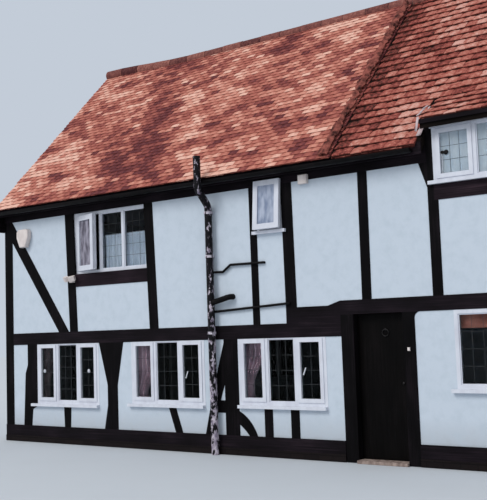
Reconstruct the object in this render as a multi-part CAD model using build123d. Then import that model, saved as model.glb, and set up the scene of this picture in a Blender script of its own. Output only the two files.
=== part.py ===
"""A two-storey timber-framed end house under a plain-tiled gable roof, as separate pieces.

Millimetres. While a piece is drawn, x runs along the front from the left corner, y runs back from
the front face of the timbers, and z runs up from the paving. place() then moves everything so that
the origin is the middle of the plan, on the underside of the ground floor.
"""
import math
import os

from build123d import *

# Overall sizes
house_depth = 5700
frame_depth = 160
infill_recess = 8
party_wall_thickness = 215
plinth_height = 100
plinth_projection = 20
sill_top = 280
sill_projection = 10

# Roof
roof_pitch = 45.6
eaves_overhang = 220
eaves_above_plate = 230
tile_layer = 35
rafter_layer = 110
rafter_foot_overhang = 120
verge_overhang = 80
bargeboard_thickness = 40
bargeboard_depth = 190
boxed_end_foot = 3700
ridge_tile_radius = 120
ridge_tile_sink = 30
old_tile_start = 6900

# Raised eaves over the right-hand upper window
dormer_pitch = 32
dormer_overhang = 160
dormer_eaves_rise = 340
dormer_head_drop = 140
dormer_board_depth = 110

# Eaves gutter
fascia_thickness = 25
fascia_height = 160
gutter_radius = 56
gutter_wall = 4
gutter_seat_gap = 0.3
gutter_rim_drop = 12

# Storey heights
ground_floor_thickness = 30
left_rail_bottom = 1670
rail_height = 200
scarf_rise = 220
right_rail_bottom = 1960
right_rail_height = 190
upper_floor_thickness = 170
upper_wall_height = 1990
tie_beam_height = 200
tie_beam_width = 180

# Front, ground storey, from left to right
corner_post_width = 200
end_panel_width = 260
wavy_stud_foot_width = 200
wavy_stud_head_width = 240
wavy_stud_lean = 110
wavy_stud_hollow = 50
wavy_stud_hollow_height = 890
wavy_stud_step_rise = 150
wavy_stud_flare = 30
wavy_stud_shoulder = 55
wavy_stud_bend_radius = 35
window_seat_gap = 5
cottage_window_width = 1480
jowl_gap = 15
jowl_head_width = 540
jowl_left_sweep = 180
jowl_waist_width = 220
jowl_foot_flare = 80
jowl_waist_low = 380
jowl_waist_high = 710
jowl_bend_radius = 150
jowl_to_window = 170
window_to_main_post = 370
main_post_width = 250
main_post_to_window = 10
window_to_door_post = 250
door_post_width = 190
door_opening_width = 720
door_right_post_width = 170
door_knee_radius = 80
door_post_to_window = 530
parlour_window_width = 1640
parlour_to_end_post = 90
stud_under_window_width = 140
stud_under_first = 665
stud_under_first_spread = 30
stud_under_second = 890
stud_under_second_lean = -130
studs_under_third = (430, 875)

# Front, upper storey, from left to right
brace_bay = 1440
first_stud_width = 185
first_stud_lean = -85
casement_bay = 1605
second_post_width = 180
second_post_lean = -70
pipe_bay = 1810
thin_stud_width = 120
thin_stud_lean = -8
bathroom_bay = 450
bathroom_post_width = 180
bathroom_post_lean = -20
vent_bay = 1030
brown_stud_width = 140
brown_stud_lean = 10
landing_bay = 870
jowled_upper_post_width = 140
upper_jowl_reach = 110
upper_jowl_height = 330
diagonal_brace_width = 240
diagonal_brace_from_stud = 30

# Curved foot braces on each side of the main ground post
brace_foot_width = 140
left_brace_reach = 380
left_brace_rise = 1340
left_brace_head = 600
left_brace_bow = 12
right_brace_reach = 310
right_brace_rise = 350
right_brace_head = 190
right_brace_bow = 45
brace_inner_bow = 8
brace_rail_bottom = 600
brace_rail_height = 180
brace_rail_length = 200

# Windows
window_frame = 50
window_frame_depth = 70
sash_frame = 55
sash_proud = 12
fixed_bead = 15
cottage_head = 12
dormer_frame_head = 25
dormer_frame_foot = 25
glass_thickness = 20
glass_set_back = 25
window_set_back = 4
sill_board_height = 45
sill_board_projection = 55
sill_board_ends = (60, 60)
first_sill_ends = (115, -5)
second_sill_ends = (60, -10)
third_sill_ends = (5, -10)
head_board_height = 60
head_board_projection = 25
head_board_ends = 15
head_board_lap = 8
first_sill = 660
second_sill = 700
third_sill = 720
parlour_sill = 980
bedroom_sill = 2830
bedroom_set_back = 45
bedroom_rail_height = 215
bedroom_open_light = 530
bedroom_middle_light = 460
casement_open_angle = 15
casement_edge = 85
casement_seat_gap = 0.3
bathroom_sill = 3210
bathroom_sash_angle = 5
bathroom_sash_over_plate = 75
bathroom_sash_lift = 15
bathroom_window_lap = 5
bathroom_set_back = 14
dormer_rail_height = 200
dormer_sill = 3605
dormer_post_width = 90
dormer_end_panel = 160

# Back and gable walls, which repeat the storeys of the front
back_window_count = 3
back_window_height = 950
back_upper_sill = 2830
back_stud_width = 150
gable_stud_count = 3
collar_bottom = 5500
collar_height = 160

# Front door
door_thickness = 45
door_hinge_gap = 5
door_lock_gap = 7
door_floor_gap = 5
threshold_height = 40
threshold_projection = 60
hinge_knuckle_radius = 6
hinge_leaf_thickness = 3
hinge_leaf_width = 40
hinge_knuckle_length = 45
hinge_play = 0.3
hinge_count = 3
knocker_ring_radius = 45
knocker_bar_radius = 7
knocker_height = 1700
knocker_from_hinge = 415
handle_height = 1040
handle_from_edge = 40
handle_radius = 24
handle_stem_radius = 10
handle_rose_depth = 10
handle_reach = 50

# Pipes and small fittings on the front
soil_pipe_radius = 55
soil_pipe_gap = 25
soil_pipe_from_main_post = 150
soil_pipe_above_gutter = 360
soil_pipe_neck_below_gutter = 368
soil_pipe_gutter_gap = 8
soil_pipe_bend_radius = 110
bracket_height = 40
bracket_thickness = 8
bracket_play = 0.3
bracket_below_neck = 100
middle_bracket_height = 2905
waste_radius = 18
waste_wall_gap = 4
waste_bend_radius = 20
upper_waste_height = 2670
upper_waste_fall = 5
upper_waste_step = 90
upper_waste_first_run = 200
upper_waste_step_end = 340
upper_waste_reach = 930
lower_waste_height = 2080
lower_waste_rise = 70
lower_waste_past_stud = 70
branch_radius = 42
branch_bend_radius = 45
branch_height = 2210
branch_rise = 80
branch_reach = 350
alarm_from_corner = 205
alarm_below_plate = 480
alarm_shoulder = 45
alarm_taper = 75
alarm_taper_height = 170
alarm_edge_round = 20
alarm_box_width = 295
alarm_box_height = 320
alarm_box_depth = 85
vent_box_width = 140
vent_box_height = 130
vent_box_depth = 60
vent_from_post = 130
vent_over_plate = 72
vent_edge_round = 12
lamp_head_width = 105
lamp_head_height = 80
lamp_head_depth = 90
lamp_head_spread = 62
lamp_head_reach = 80
lamp_head_lift = 35
lamp_head_turn = 25
lamp_bezel = 20
lamp_base_width = 90
lamp_base_depth = 45
lamp_base_drop = 30
lamp_base_height = 80
bell_width = 32
bell_height = 45
bell_depth = 22
bell_from_door = 60
bell_push_height = 1460
bell_edge_round = 5
flashing_width = 65
flashing_thickness = 6
flashing_head_y = 330

# Worked-out levels and lines
tan_main = math.tan(math.radians(roof_pitch))
cos_main = math.cos(math.radians(roof_pitch))
tan_dormer = math.tan(math.radians(dormer_pitch))
ridge_y = house_depth / 2
tile_plumb = tile_layer / cos_main
roof_plumb = (tile_layer + rafter_layer) / cos_main
left_rail_top = left_rail_bottom + rail_height
scarf_top = left_rail_top + scarf_rise
right_rail_top = right_rail_bottom + right_rail_height
plate_bottom = left_rail_top + upper_wall_height
eaves_edge_height = plate_bottom + eaves_above_plate
dormer_eaves_height = eaves_edge_height + dormer_eaves_rise
dormer_head_bottom = dormer_eaves_height - dormer_head_drop
dormer_rail_top = dormer_sill - sill_board_height
dormer_rail_bottom = dormer_rail_top - dormer_rail_height
inner_face = frame_depth
back_inner_face = house_depth - frame_depth
infill_front = infill_recess
infill_back = frame_depth - infill_recess


def roof_top(y):
    """Height of the tiled surface over a point y behind the front."""
    run = min(y, house_depth - y) + eaves_overhang
    return eaves_edge_height + run * tan_main


def dormer_top(y):
    """Height of the raised tiled surface over the right-hand window."""
    return dormer_eaves_height + (y + dormer_overhang) * tan_dormer


# Where the raised roof runs out into the main slope
dormer_meet_y = (dormer_eaves_height + dormer_overhang * tan_dormer - roof_top(0)) / (tan_main - tan_dormer)
dormer_foot_y = -(dormer_overhang - fascia_thickness)


def dormer_under(y):
    """Height of the underside of the raised roof, straight from its foot to the main slope."""
    low = dormer_top(dormer_foot_y) - dormer_board_depth
    high = roof_top(dormer_meet_y) - roof_plumb
    return low + (y - dormer_foot_y) * (high - low) / (dormer_meet_y - dormer_foot_y)


def elevation(points, y0, y1):
    """A solid with this outline in the wall's face (x, z), from depth y0 back to y1."""
    outline = Polyline(*[(x, y0, z) for x, z in points], close=True)
    return extrude(make_face(outline), amount=y1 - y0, dir=(0, 1, 0))


def section(points, x0, x1):
    """A solid with this outline across the house (y, z), from x0 to x1."""
    outline = Polyline(*[(x0, y, z) for y, z in points], close=True)
    return extrude(make_face(outline), amount=x1 - x0, dir=(1, 0, 0))


def block(x0, x1, y0, y1, z0, z1):
    return Pos(x0, y0, z0) * Box(x1 - x0, y1 - y0, z1 - z0, align=(Align.MIN, Align.MIN, Align.MIN))


def leaning(x_foot, width, z0, z1, lean, head_width=None):
    """A stud whose head stands off sideways from its foot, as settled old studs do."""
    head = width if head_width is None else head_width
    points = [(x_foot, z0), (x_foot + width, z0), (x_foot + lean + head, z1), (x_foot + lean, z1)]
    return elevation(points, 0, frame_depth)


def timber(left, right):
    """A grown timber between two sides, each an edge or wire from its foot up, thrust through the wall."""
    ends = [Line(left @ 0, right @ 0), Line(left @ 1, right @ 1)]
    return extrude(make_face([*left.edges(), *right.edges(), *ends]), amount=frame_depth, dir=(0, 1, 0))


def hewn(left_points, right_points, bend):
    """A timber with straight hewn sides that turn through soft bends."""
    return timber(*[FilletPolyline(*[(x, 0, z) for x, z in points], radius=bend)
                    for points in (left_points, right_points)])


def joined(shapes):
    """Fuses pieces that belong to one solid."""
    whole = shapes[0]
    for shape in shapes[1:]:
        whole = whole + shape
    return whole


def cut(shape, tools):
    for tool in tools:
        shape = shape - tool
    return shape


nodes = {}


def place(name, *shapes):
    """Keeps pieces under one name, moved to the middle of the plan."""
    solids = [solid for shape in shapes for solid in shape.solids()]
    nodes[name] = Pos(-house_length / 2, -house_depth / 2, 0) * Compound(solids)


# Timbers of the ground storey
wavy_x = corner_post_width + end_panel_width
first_window_x = wavy_x + wavy_stud_lean + wavy_stud_head_width + window_seat_gap
jowl_x = first_window_x + cottage_window_width + jowl_gap
second_window_x = jowl_x + jowl_head_width + jowl_to_window
main_post_x = second_window_x + cottage_window_width + window_to_main_post
third_window_x = main_post_x + main_post_width + main_post_to_window
door_post_x = third_window_x + cottage_window_width + window_to_door_post
door_left = door_post_x + door_post_width
door_right = door_left + door_opening_width
knee_x = door_right + door_right_post_width
parlour_window_x = knee_x + door_post_to_window
end_post_x = parlour_window_x + parlour_window_width + parlour_to_end_post
house_length = end_post_x + corner_post_width
party_face = house_length - party_wall_thickness


def wavy_stud():
    """The bowed stud beside the first window, stepping in on its left and narrower under the sill board."""
    hollow_z = sill_top + wavy_stud_hollow_height
    shoulder_z = first_sill - sill_board_height
    head_right = wavy_x + wavy_stud_lean + wavy_stud_head_width
    left = [
        (wavy_x, sill_top),
        (wavy_x + wavy_stud_hollow, hollow_z),
        (wavy_x + wavy_stud_lean, hollow_z + wavy_stud_step_rise),
        (wavy_x + wavy_stud_lean, left_rail_bottom),
    ]
    right = [
        (wavy_x + wavy_stud_foot_width, sill_top),
        (wavy_x + wavy_stud_foot_width + wavy_stud_flare, shoulder_z - wavy_stud_shoulder),
        (head_right, shoulder_z),
        (head_right, left_rail_bottom),
    ]
    return hewn(left, right, wavy_stud_bend_radius)


def jowled_post():
    """A post that swells into a wide head under the rail and flares again at its foot."""
    waist_left = jowl_x + jowl_left_sweep
    waist_right = waist_left + jowl_waist_width
    left = [
        (waist_left - jowl_foot_flare, sill_top),
        (waist_left, sill_top + jowl_waist_low),
        (waist_left, sill_top + jowl_waist_high),
        (jowl_x, left_rail_bottom),
    ]
    right = [
        (waist_right, sill_top),
        (waist_right, sill_top + jowl_waist_high),
        (jowl_x + jowl_head_width, left_rail_bottom),
    ]
    return hewn(left, right, jowl_bend_radius)


def foot_brace(post_face, side, reach, rise, head, bow):
    """A bent brace from the sill up to the main post, on its left where side is -1, on its right where it is 1."""

    def edge(foot_x, head_z, bulge):
        chord = math.hypot(foot_x, head_z)
        middle_x = foot_x / 2 + bulge * head_z / chord
        middle_z = head_z / 2 + bulge * foot_x / chord
        return ThreePointArc((post_face + side * foot_x, 0, sill_top),
                             (post_face + side * middle_x, 0, sill_top + middle_z),
                             (post_face, 0, sill_top + head_z))

    return timber(edge(reach, rise, bow), edge(reach - brace_foot_width, rise - head, brace_inner_bow))


def stud_under(x, sill, lean=0, spread=0):
    """A short stud from the sill beam to the underside of a window."""
    return leaning(x, stud_under_window_width, sill_top, sill - sill_board_height, lean,
                   stud_under_window_width + spread)


main_post = block(main_post_x, main_post_x + main_post_width, 0, frame_depth, sill_top, left_rail_bottom)
door_left_post = block(door_post_x, door_left, 0, frame_depth, 0, right_rail_bottom)
door_right_post = block(door_right, knee_x, 0, frame_depth, 0, right_rail_bottom)
knee_low = right_rail_bottom - door_knee_radius
knee_corner = block(knee_x, knee_x + door_knee_radius, 0, frame_depth, knee_low, right_rail_bottom)
knee_round = Pos(knee_x + door_knee_radius, frame_depth / 2, knee_low) * Rot(90, 0, 0) \
    * Cylinder(door_knee_radius, frame_depth * 2)
door_right_post = door_right_post + (knee_corner - knee_round)
left_brace = foot_brace(main_post_x, -1, left_brace_reach, left_brace_rise, left_brace_head, left_brace_bow)
right_brace = foot_brace(main_post_x + main_post_width, 1, right_brace_reach, right_brace_rise,
                         right_brace_head, right_brace_bow)
brace_rail = block(main_post_x - brace_rail_length, main_post_x, 0, frame_depth,
                   brace_rail_bottom, brace_rail_bottom + brace_rail_height) - left_brace
jowl = jowled_post()
ground_studs = [
    wavy_stud(),
    stud_under(first_window_x + stud_under_first, first_sill, -stud_under_first_spread / 2,
               stud_under_first_spread),
    stud_under(second_window_x + stud_under_second, second_sill, stud_under_second_lean),
    *[stud_under(third_window_x + x, third_sill) for x in studs_under_third],
]

# Rails, posts and studs of the upper storey
first_stud_x = corner_post_width + brace_bay
second_post_x = first_stud_x + first_stud_width + casement_bay
thin_stud_x = second_post_x + second_post_width + pipe_bay
bathroom_post_x = thin_stud_x + thin_stud_width + bathroom_bay
brown_stud_x = bathroom_post_x + bathroom_post_width + vent_bay
upper_post_x = brown_stud_x + brown_stud_width + landing_bay
upper_post_right = upper_post_x + jowled_upper_post_width
dormer_window_x = upper_post_x + dormer_post_width
dormer_window_right = end_post_x - dormer_end_panel - dormer_post_width
dormer_window_width = dormer_window_right - dormer_window_x
dormer_window_height = dormer_head_bottom - dormer_sill

left_rail = block(corner_post_width, door_post_x, 0, frame_depth, left_rail_bottom, left_rail_top)
right_rail = elevation(
    [
        (bathroom_post_x, left_rail_top),
        (door_post_x, left_rail_top),
        (door_post_x, right_rail_bottom),
        (end_post_x, right_rail_bottom),
        (end_post_x, right_rail_top),
        (door_post_x, right_rail_top),
        (door_post_x - door_post_width, scarf_top),
        (bathroom_post_x, scarf_top),
    ],
    0, frame_depth,
)
first_stud = leaning(first_stud_x, first_stud_width, left_rail_top, plate_bottom, first_stud_lean)
second_post = leaning(second_post_x, second_post_width, left_rail_top, plate_bottom, second_post_lean)
thin_stud = leaning(thin_stud_x, thin_stud_width, left_rail_top, plate_bottom, thin_stud_lean)
bathroom_post = leaning(bathroom_post_x, bathroom_post_width, scarf_top, plate_bottom, bathroom_post_lean)
brown_stud = leaning(brown_stud_x, brown_stud_width, right_rail_top, plate_bottom, brown_stud_lean)


def jowled_upper_post():
    """The post under the raised eaves, with a jowl that reaches left to carry the wall plate."""
    neck = plate_bottom - upper_jowl_height
    points = [
        (upper_post_x, right_rail_top),
        (upper_post_right, right_rail_top),
        (upper_post_right, dormer_rail_bottom),
        (upper_post_x, dormer_rail_bottom),
    ]
    stem = elevation(points, 0, frame_depth)
    head = elevation(
        [
            (upper_post_x, dormer_rail_bottom),
            (dormer_window_x, dormer_rail_bottom),
            (dormer_window_x, plate_bottom),
            (upper_post_x - upper_jowl_reach, plate_bottom),
            (upper_post_x, neck),
        ],
        0, frame_depth,
    )
    return stem + head


upper_post = jowled_upper_post()
brace_foot_x = first_stud_x - diagonal_brace_from_stud
diagonal_brace = elevation(
    [
        (brace_foot_x - diagonal_brace_width, left_rail_top),
        (brace_foot_x, left_rail_top),
        (corner_post_width, plate_bottom),
        (corner_post_width, plate_bottom - diagonal_brace_width * 1.5),
    ],
    0, frame_depth,
)
bedroom_rail = block(first_stud_x + first_stud_width / 2, second_post_x + second_post_width / 2,
                     0, frame_depth, bedroom_sill - bedroom_rail_height, bedroom_sill)
bedroom_rail = bedroom_rail - first_stud - second_post
dormer_rail = block(dormer_window_x, end_post_x, 0, frame_depth, dormer_rail_bottom, dormer_rail_top)
dormer_rail = dormer_rail - upper_post


def wall_plate(y_outer, x_end):
    """The plate along the wall's head, bevelled to the slope of the rafters."""
    near, far = y_outer, y_outer + frame_depth
    points = [
        (near, plate_bottom),
        (far, plate_bottom),
        (far, roof_top(far) - roof_plumb),
        (near, roof_top(near) - roof_plumb),
    ]
    return section(points, 0, x_end)


front_plate = wall_plate(0, upper_post_x)
back_plate = wall_plate(back_inner_face, house_length)
dormer_head = section(
    [
        (0, dormer_head_bottom),
        (frame_depth, dormer_head_bottom),
        (frame_depth, dormer_under(frame_depth)),
        (0, dormer_under(0)),
    ],
    dormer_window_x, end_post_x,
)


def post_under_dormer(x0, x1, foot):
    """A front post cut off to the slope of the raised roof over it."""
    outline = [(0, foot), (frame_depth, foot), (frame_depth, dormer_under(frame_depth)), (0, dormer_under(0))]
    return section(outline, x0, x1)


dormer_left_post = post_under_dormer(upper_post_x, dormer_window_x, plate_bottom)
dormer_right_post = block(dormer_window_right, dormer_window_right + dormer_post_width, 0, frame_depth,
                          dormer_rail_top, dormer_head_bottom)


def corner_post(x0, y0, top):
    return block(x0, x0 + corner_post_width, y0, y0 + frame_depth, sill_top, top)


corner_posts = [
    corner_post(0, 0, plate_bottom),
    corner_post(0, back_inner_face, plate_bottom),
    corner_post(end_post_x, back_inner_face, plate_bottom),
    post_under_dormer(end_post_x, house_length, sill_top),
]


def light_widths(count, width, side_light=None):
    """Clear widths of a window's lights, with the middle one taking up what the side ones leave."""
    clear = width - 2 * window_frame - (count - 1) * window_frame
    if side_light is None:
        return [clear / count] * count
    return [side_light, clear - 2 * side_light, side_light]


cottage_side_light = 420


class Window:
    """A white frame with its lights; a light is a closed sash, fixed glass or left open."""

    def __init__(self, x, width, z, height, y_face, lights, kinds, flip=False,
                 head=window_frame, foot=window_frame, sill_ends=sill_board_ends):
        self.x, self.width, self.z, self.height = x, width, z, height
        self.flip = flip
        self.sill_ends = sill_ends
        self.y0 = y_face
        self.y1 = y_face + window_frame_depth
        self.lights = []
        left = x + window_frame
        for light, kind in zip(lights, kinds):
            self.lights.append((left, left + light, kind))
            left += light + window_frame
        self.low, self.high = z + foot, z + height - head

    def outer(self, y0, y1):
        return block(self.x, self.x + self.width, y0, y1, self.z, self.z + self.height)

    def turned(self, shape):
        """Turns a back window about its own middle, so that its face looks out of the back wall."""
        if not self.flip:
            return shape
        middle = (self.x + self.width / 2, (self.y0 + self.y1) / 2, 0)
        return Pos(*middle) * Rot(0, 0, 180) * Pos(-middle[0], -middle[1], 0) * shape

    def frame(self):
        shape = self.outer(self.y0, self.y1)
        for left, right, kind in self.lights:
            shape = shape - block(left, right, self.y0 - 1, self.y1 + 1, self.low, self.high)
            if kind == "open":
                continue
            edge = sash_frame if kind == "sash" else fixed_bead
            front = self.y0 - sash_proud if kind == "sash" else self.y0 + sash_proud
            ring = block(left, right, front, self.y1 - sash_proud, self.low, self.high)
            hole = block(left + edge, right - edge, front - 1, self.y1, self.low + edge, self.high - edge)
            shape = shape + (ring - hole)
        return self.turned(shape)

    def glass(self):
        panes = []
        for left, right, kind in self.lights:
            if kind == "open":
                continue
            edge = sash_frame if kind == "sash" else fixed_bead
            y0 = self.y0 + glass_set_back
            panes.append(self.turned(block(left + edge, right - edge, y0, y0 + glass_thickness,
                                           self.low + edge, self.high - edge)))
        return panes

    def sill(self):
        """The board under the window, with its horns in front of the timbers and panels beside it."""
        low = self.z - sill_board_height
        y_wall = self.y0 - window_set_back
        left_end, right_end = self.sill_ends
        nosing = block(self.x - left_end, self.x + self.width + right_end,
                       y_wall - sill_board_projection, y_wall, low, self.z)
        inner = block(self.x, self.x + self.width, y_wall, self.y1, low, self.z)
        return self.turned(nosing + inner)


def cottage_window(x, sill, sill_ends, y_face=window_set_back, top=left_rail_bottom, flip=False,
                   head=cottage_head):
    """A window of three lights; on the front its head shows as a thin line under the rail."""
    lights = light_widths(3, cottage_window_width, cottage_side_light)
    kinds = ["sash", "fixed", "sash"]
    return Window(x, cottage_window_width, sill, top - sill, y_face, lights, kinds, flip, head,
                  sill_ends=sill_ends)


parlour_window = Window(
    parlour_window_x, parlour_window_width, parlour_sill, right_rail_bottom - parlour_sill, window_set_back,
    light_widths(3, parlour_window_width), ["fixed"] * 3,
)
ground_windows = [
    cottage_window(first_window_x, first_sill, first_sill_ends),
    cottage_window(second_window_x, second_sill, second_sill_ends),
    cottage_window(third_window_x, third_sill, third_sill_ends),
    parlour_window,
]
bedroom_window_x = first_stud_x + first_stud_width + first_stud_lean
bedroom_window_width = second_post_x - bedroom_window_x
bedroom_last_light = bedroom_window_width - 4 * window_frame - bedroom_open_light - bedroom_middle_light
bedroom_window = Window(
    bedroom_window_x, bedroom_window_width, bedroom_sill, plate_bottom - bedroom_sill, bedroom_set_back,
    [bedroom_open_light, bedroom_middle_light, bedroom_last_light], ["open", "fixed", "fixed"],
)
bathroom_window_x = thin_stud_x + thin_stud_width - bathroom_window_lap
bathroom_window_width = bathroom_post_x + bathroom_post_lean / 2 - bathroom_window_x
bathroom_window = Window(
    bathroom_window_x, bathroom_window_width, bathroom_sill, plate_bottom - bathroom_sill,
    bathroom_set_back, [bathroom_window_width - 2 * window_frame], ["open"],
)
dormer_window = Window(
    dormer_window_x, dormer_window_width, dormer_sill, dormer_window_height, window_set_back,
    light_widths(3, dormer_window_width), ["sash", "fixed", "sash"],
    head=dormer_frame_head, foot=dormer_frame_foot,
)
upper_windows = [bedroom_window, bathroom_window, dormer_window]
front_windows = ground_windows + upper_windows


def loose_sash(width, height, edge, depth):
    """An opening light drawn closed, from its lower left corner, with its glass in it."""
    ring = block(0, width, 0, depth, 0, height)
    hole = block(edge, width - edge, -1, depth + 1, edge, height - edge)
    middle = (depth - glass_thickness) / 2
    pane = block(edge, width - edge, middle, middle + glass_thickness, edge, height - edge)
    return ring - hole, pane


# The bedroom casement is hung on its left and stands ajar
sash_left, sash_right, _ = bedroom_window.lights[0]
sash_gap = casement_seat_gap
casement_width = sash_right - sash_left - 2 * sash_gap
casement_height = bedroom_window.high - bedroom_window.low - 2 * sash_gap
casement_at = Pos(sash_left + sash_gap, bedroom_set_back, bedroom_window.low + sash_gap) \
    * Rot(0, 0, -casement_open_angle)
casement = loose_sash(casement_width, casement_height, casement_edge, window_frame_depth)
casement_ring, casement_pane = [casement_at * shape for shape in casement]

# The bathroom sash hangs from its head over the face of its frame and of the plate
bathroom_sash_top = plate_bottom + bathroom_sash_over_plate
bathroom_sash_height = bathroom_sash_top - bathroom_sill - bathroom_sash_lift
bathroom_sash_width = bathroom_window_width - 2 * sash_gap
bathroom_at = Pos(bathroom_window_x + sash_gap, -window_frame - sash_gap, bathroom_sash_top) \
    * Rot(-bathroom_sash_angle, 0, 0) * Pos(0, 0, -bathroom_sash_height)
bathroom_sash = loose_sash(bathroom_sash_width, bathroom_sash_height, sash_frame, window_frame)
bathroom_ring, bathroom_pane = [bathroom_at * shape for shape in bathroom_sash]

# A white board across the head of the window under the raised roof
head_board_foot = dormer_head_bottom - head_board_lap
head_board = block(dormer_window_x - head_board_ends, dormer_window_right + head_board_ends,
                   -head_board_projection, 0, head_board_foot, head_board_foot + head_board_height)

# White panels between the timbers
upper_timbers = [first_stud, second_post, thin_stud, bathroom_post, brown_stud, upper_post, diagonal_brace,
                 bedroom_rail, dormer_rail, right_rail, front_plate, dormer_head, dormer_left_post,
                 dormer_right_post]
window_holes = [window.outer(-sash_proud, frame_depth) for window in front_windows]
sill_holes = [window.sill() for window in front_windows if window is not bedroom_window]

ground_sheet = block(corner_post_width, door_post_x, infill_front, infill_back, sill_top, left_rail_bottom)
ground_infill = cut(ground_sheet, [*ground_studs, jowl, main_post, left_brace, right_brace, brace_rail]
                    + window_holes[:3] + sill_holes[:3])
rendered_sheet = block(knee_x, end_post_x, infill_front, infill_back, sill_top, right_rail_bottom)
rendered_wall = cut(rendered_sheet, [door_right_post, window_holes[3], sill_holes[3]])
upper_sheet = joined([
    block(corner_post_width, door_post_x, infill_front, infill_back, left_rail_top, plate_bottom),
    block(door_post_x, dormer_window_x, infill_front, infill_back, right_rail_top, plate_bottom),
    block(dormer_window_x, end_post_x, infill_front, infill_back, right_rail_top, dormer_head_bottom),
])
upper_infill = cut(upper_sheet, upper_timbers + window_holes[4:] + sill_holes[4:])


def rebated(timber, windows):
    """A timber cut back where a window's frame and sill are let into it."""
    frames = [window.outer(window.y0 - sash_proud, window.y1) for window in windows]
    return cut(timber, frames + [window.sill() for window in windows if window is not bedroom_window])


# Back wall, the same storeys and materials
def back_windows():
    spacing = (party_face - frame_depth) / back_window_count
    y_face = house_depth - window_set_back - window_frame_depth
    rows = [(second_sill, left_rail_bottom), (back_upper_sill, back_upper_sill + back_window_height)]
    for row_sill, row_top in rows:
        for index in range(back_window_count):
            x = frame_depth + spacing * (index + 0.5) - cottage_window_width / 2
            yield cottage_window(x, row_sill, sill_board_ends, y_face, row_top, True, window_frame)


back_row = list(back_windows())
back_rail = block(corner_post_width, end_post_x, back_inner_face, house_depth,
                  left_rail_bottom, left_rail_top)
back_studs = []
for window in back_row:
    on_ground = window.z < left_rail_bottom
    low, high = (sill_top, left_rail_bottom) if on_ground else (left_rail_top, plate_bottom)
    for x in (window.x - back_stud_width, window.x + window.width):
        back_studs.append(block(x, x + back_stud_width, back_inner_face, house_depth, low, high))
back_sheet = block(corner_post_width, end_post_x, house_depth - infill_back, house_depth - infill_front,
                   sill_top, plate_bottom)
back_holes = [window.outer(back_inner_face, house_depth + sash_proud) for window in back_row]
back_sills = [window.sill() for window in back_row]
back_infill = cut(back_sheet, [back_rail] + back_studs + back_holes + back_sills)

# Gable wall on the left
gable_outline = [
    (frame_depth, sill_top),
    (back_inner_face, sill_top),
    (back_inner_face, roof_top(back_inner_face) - roof_plumb),
    (ridge_y, roof_top(ridge_y) - roof_plumb),
    (frame_depth, roof_top(frame_depth) - roof_plumb),
]
gable_body = section(gable_outline, 0, frame_depth)
gable_levels = [(left_rail_bottom, left_rail_top), (plate_bottom, plate_bottom + tie_beam_height),
                (collar_bottom, collar_bottom + collar_height)]
gable_rails = [block(0, frame_depth, frame_depth, back_inner_face, low, high) & gable_body
               for low, high in gable_levels]
gable_bay = (back_inner_face - frame_depth) / (gable_stud_count + 1)
gable_uprights = []
for index in range(gable_stud_count):
    y = frame_depth + gable_bay * (index + 1) - back_stud_width / 2
    upright = block(0, frame_depth, y, y + back_stud_width, sill_top, roof_top(ridge_y)) & gable_body
    gable_uprights.append(cut(upright, gable_rails))
gable_sheet = section(gable_outline, infill_front, infill_back)
gable_infill = cut(gable_sheet, gable_rails + gable_uprights)

# Plinth, sill beams and floors
plinth_pieces = [
    block(0, door_post_x, -plinth_projection, frame_depth, 0, plinth_height),
    block(knee_x, house_length, -plinth_projection, frame_depth, 0, plinth_height),
    block(0, house_length, back_inner_face, house_depth + plinth_projection, 0, plinth_height),
]
plinth_gable = block(-plinth_projection, frame_depth, frame_depth, back_inner_face, 0, plinth_height)
sill_beams = [
    block(0, door_post_x, -sill_projection, frame_depth, plinth_height, sill_top),
    block(knee_x, house_length, -sill_projection, frame_depth, plinth_height, sill_top),
    block(0, house_length, back_inner_face, house_depth + sill_projection, plinth_height, sill_top),
]
gable_sill = block(-sill_projection, frame_depth, frame_depth, back_inner_face, plinth_height, sill_top)
ground_floor = block(frame_depth, party_face, inner_face, back_inner_face, 0, ground_floor_thickness)
tie_beams = [block(x, x + tie_beam_width, inner_face, back_inner_face, plate_bottom,
                   plate_bottom + tie_beam_height)
             for x in (second_post_x + second_post_lean, bathroom_post_x, upper_post_x - tie_beam_width)]

# The upper floor steps up over the door, with a cross beam from the door post carrying both levels
left_floor = block(frame_depth, door_post_x, inner_face, back_inner_face, left_rail_top,
                   left_rail_top + upper_floor_thickness)
floor_beam = block(door_post_x, door_left, inner_face, back_inner_face, left_rail_top, right_rail_top)
right_floor = block(door_left, party_face, inner_face, back_inner_face,
                    right_rail_top - upper_floor_thickness, right_rail_top)
party_wall = section(
    [
        (inner_face, 0),
        (back_inner_face, 0),
        (back_inner_face, roof_top(back_inner_face) - roof_plumb),
        (ridge_y, roof_top(ridge_y) - roof_plumb),
        (dormer_meet_y, roof_top(dormer_meet_y) - roof_plumb),
        (inner_face, dormer_under(inner_face)),
    ],
    party_face, house_length,
)


# Roof
def slope(x0, x1, y_tile, y_rafter, verge=0):
    """One slope's rafters under its layer of battens and tiles, cut plumb at the eaves and ridge."""

    def layer(y_foot, upper, lower, start):
        return section(
            [(y_foot, roof_top(y_foot) - upper), (ridge_y, roof_top(ridge_y) - upper),
             (ridge_y, roof_top(ridge_y) - lower), (y_foot, roof_top(y_foot) - lower)],
            start, x1,
        )

    return layer(y_tile, 0, tile_plumb, x0 - verge) + layer(y_rafter, tile_plumb, roof_plumb, x0)


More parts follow.
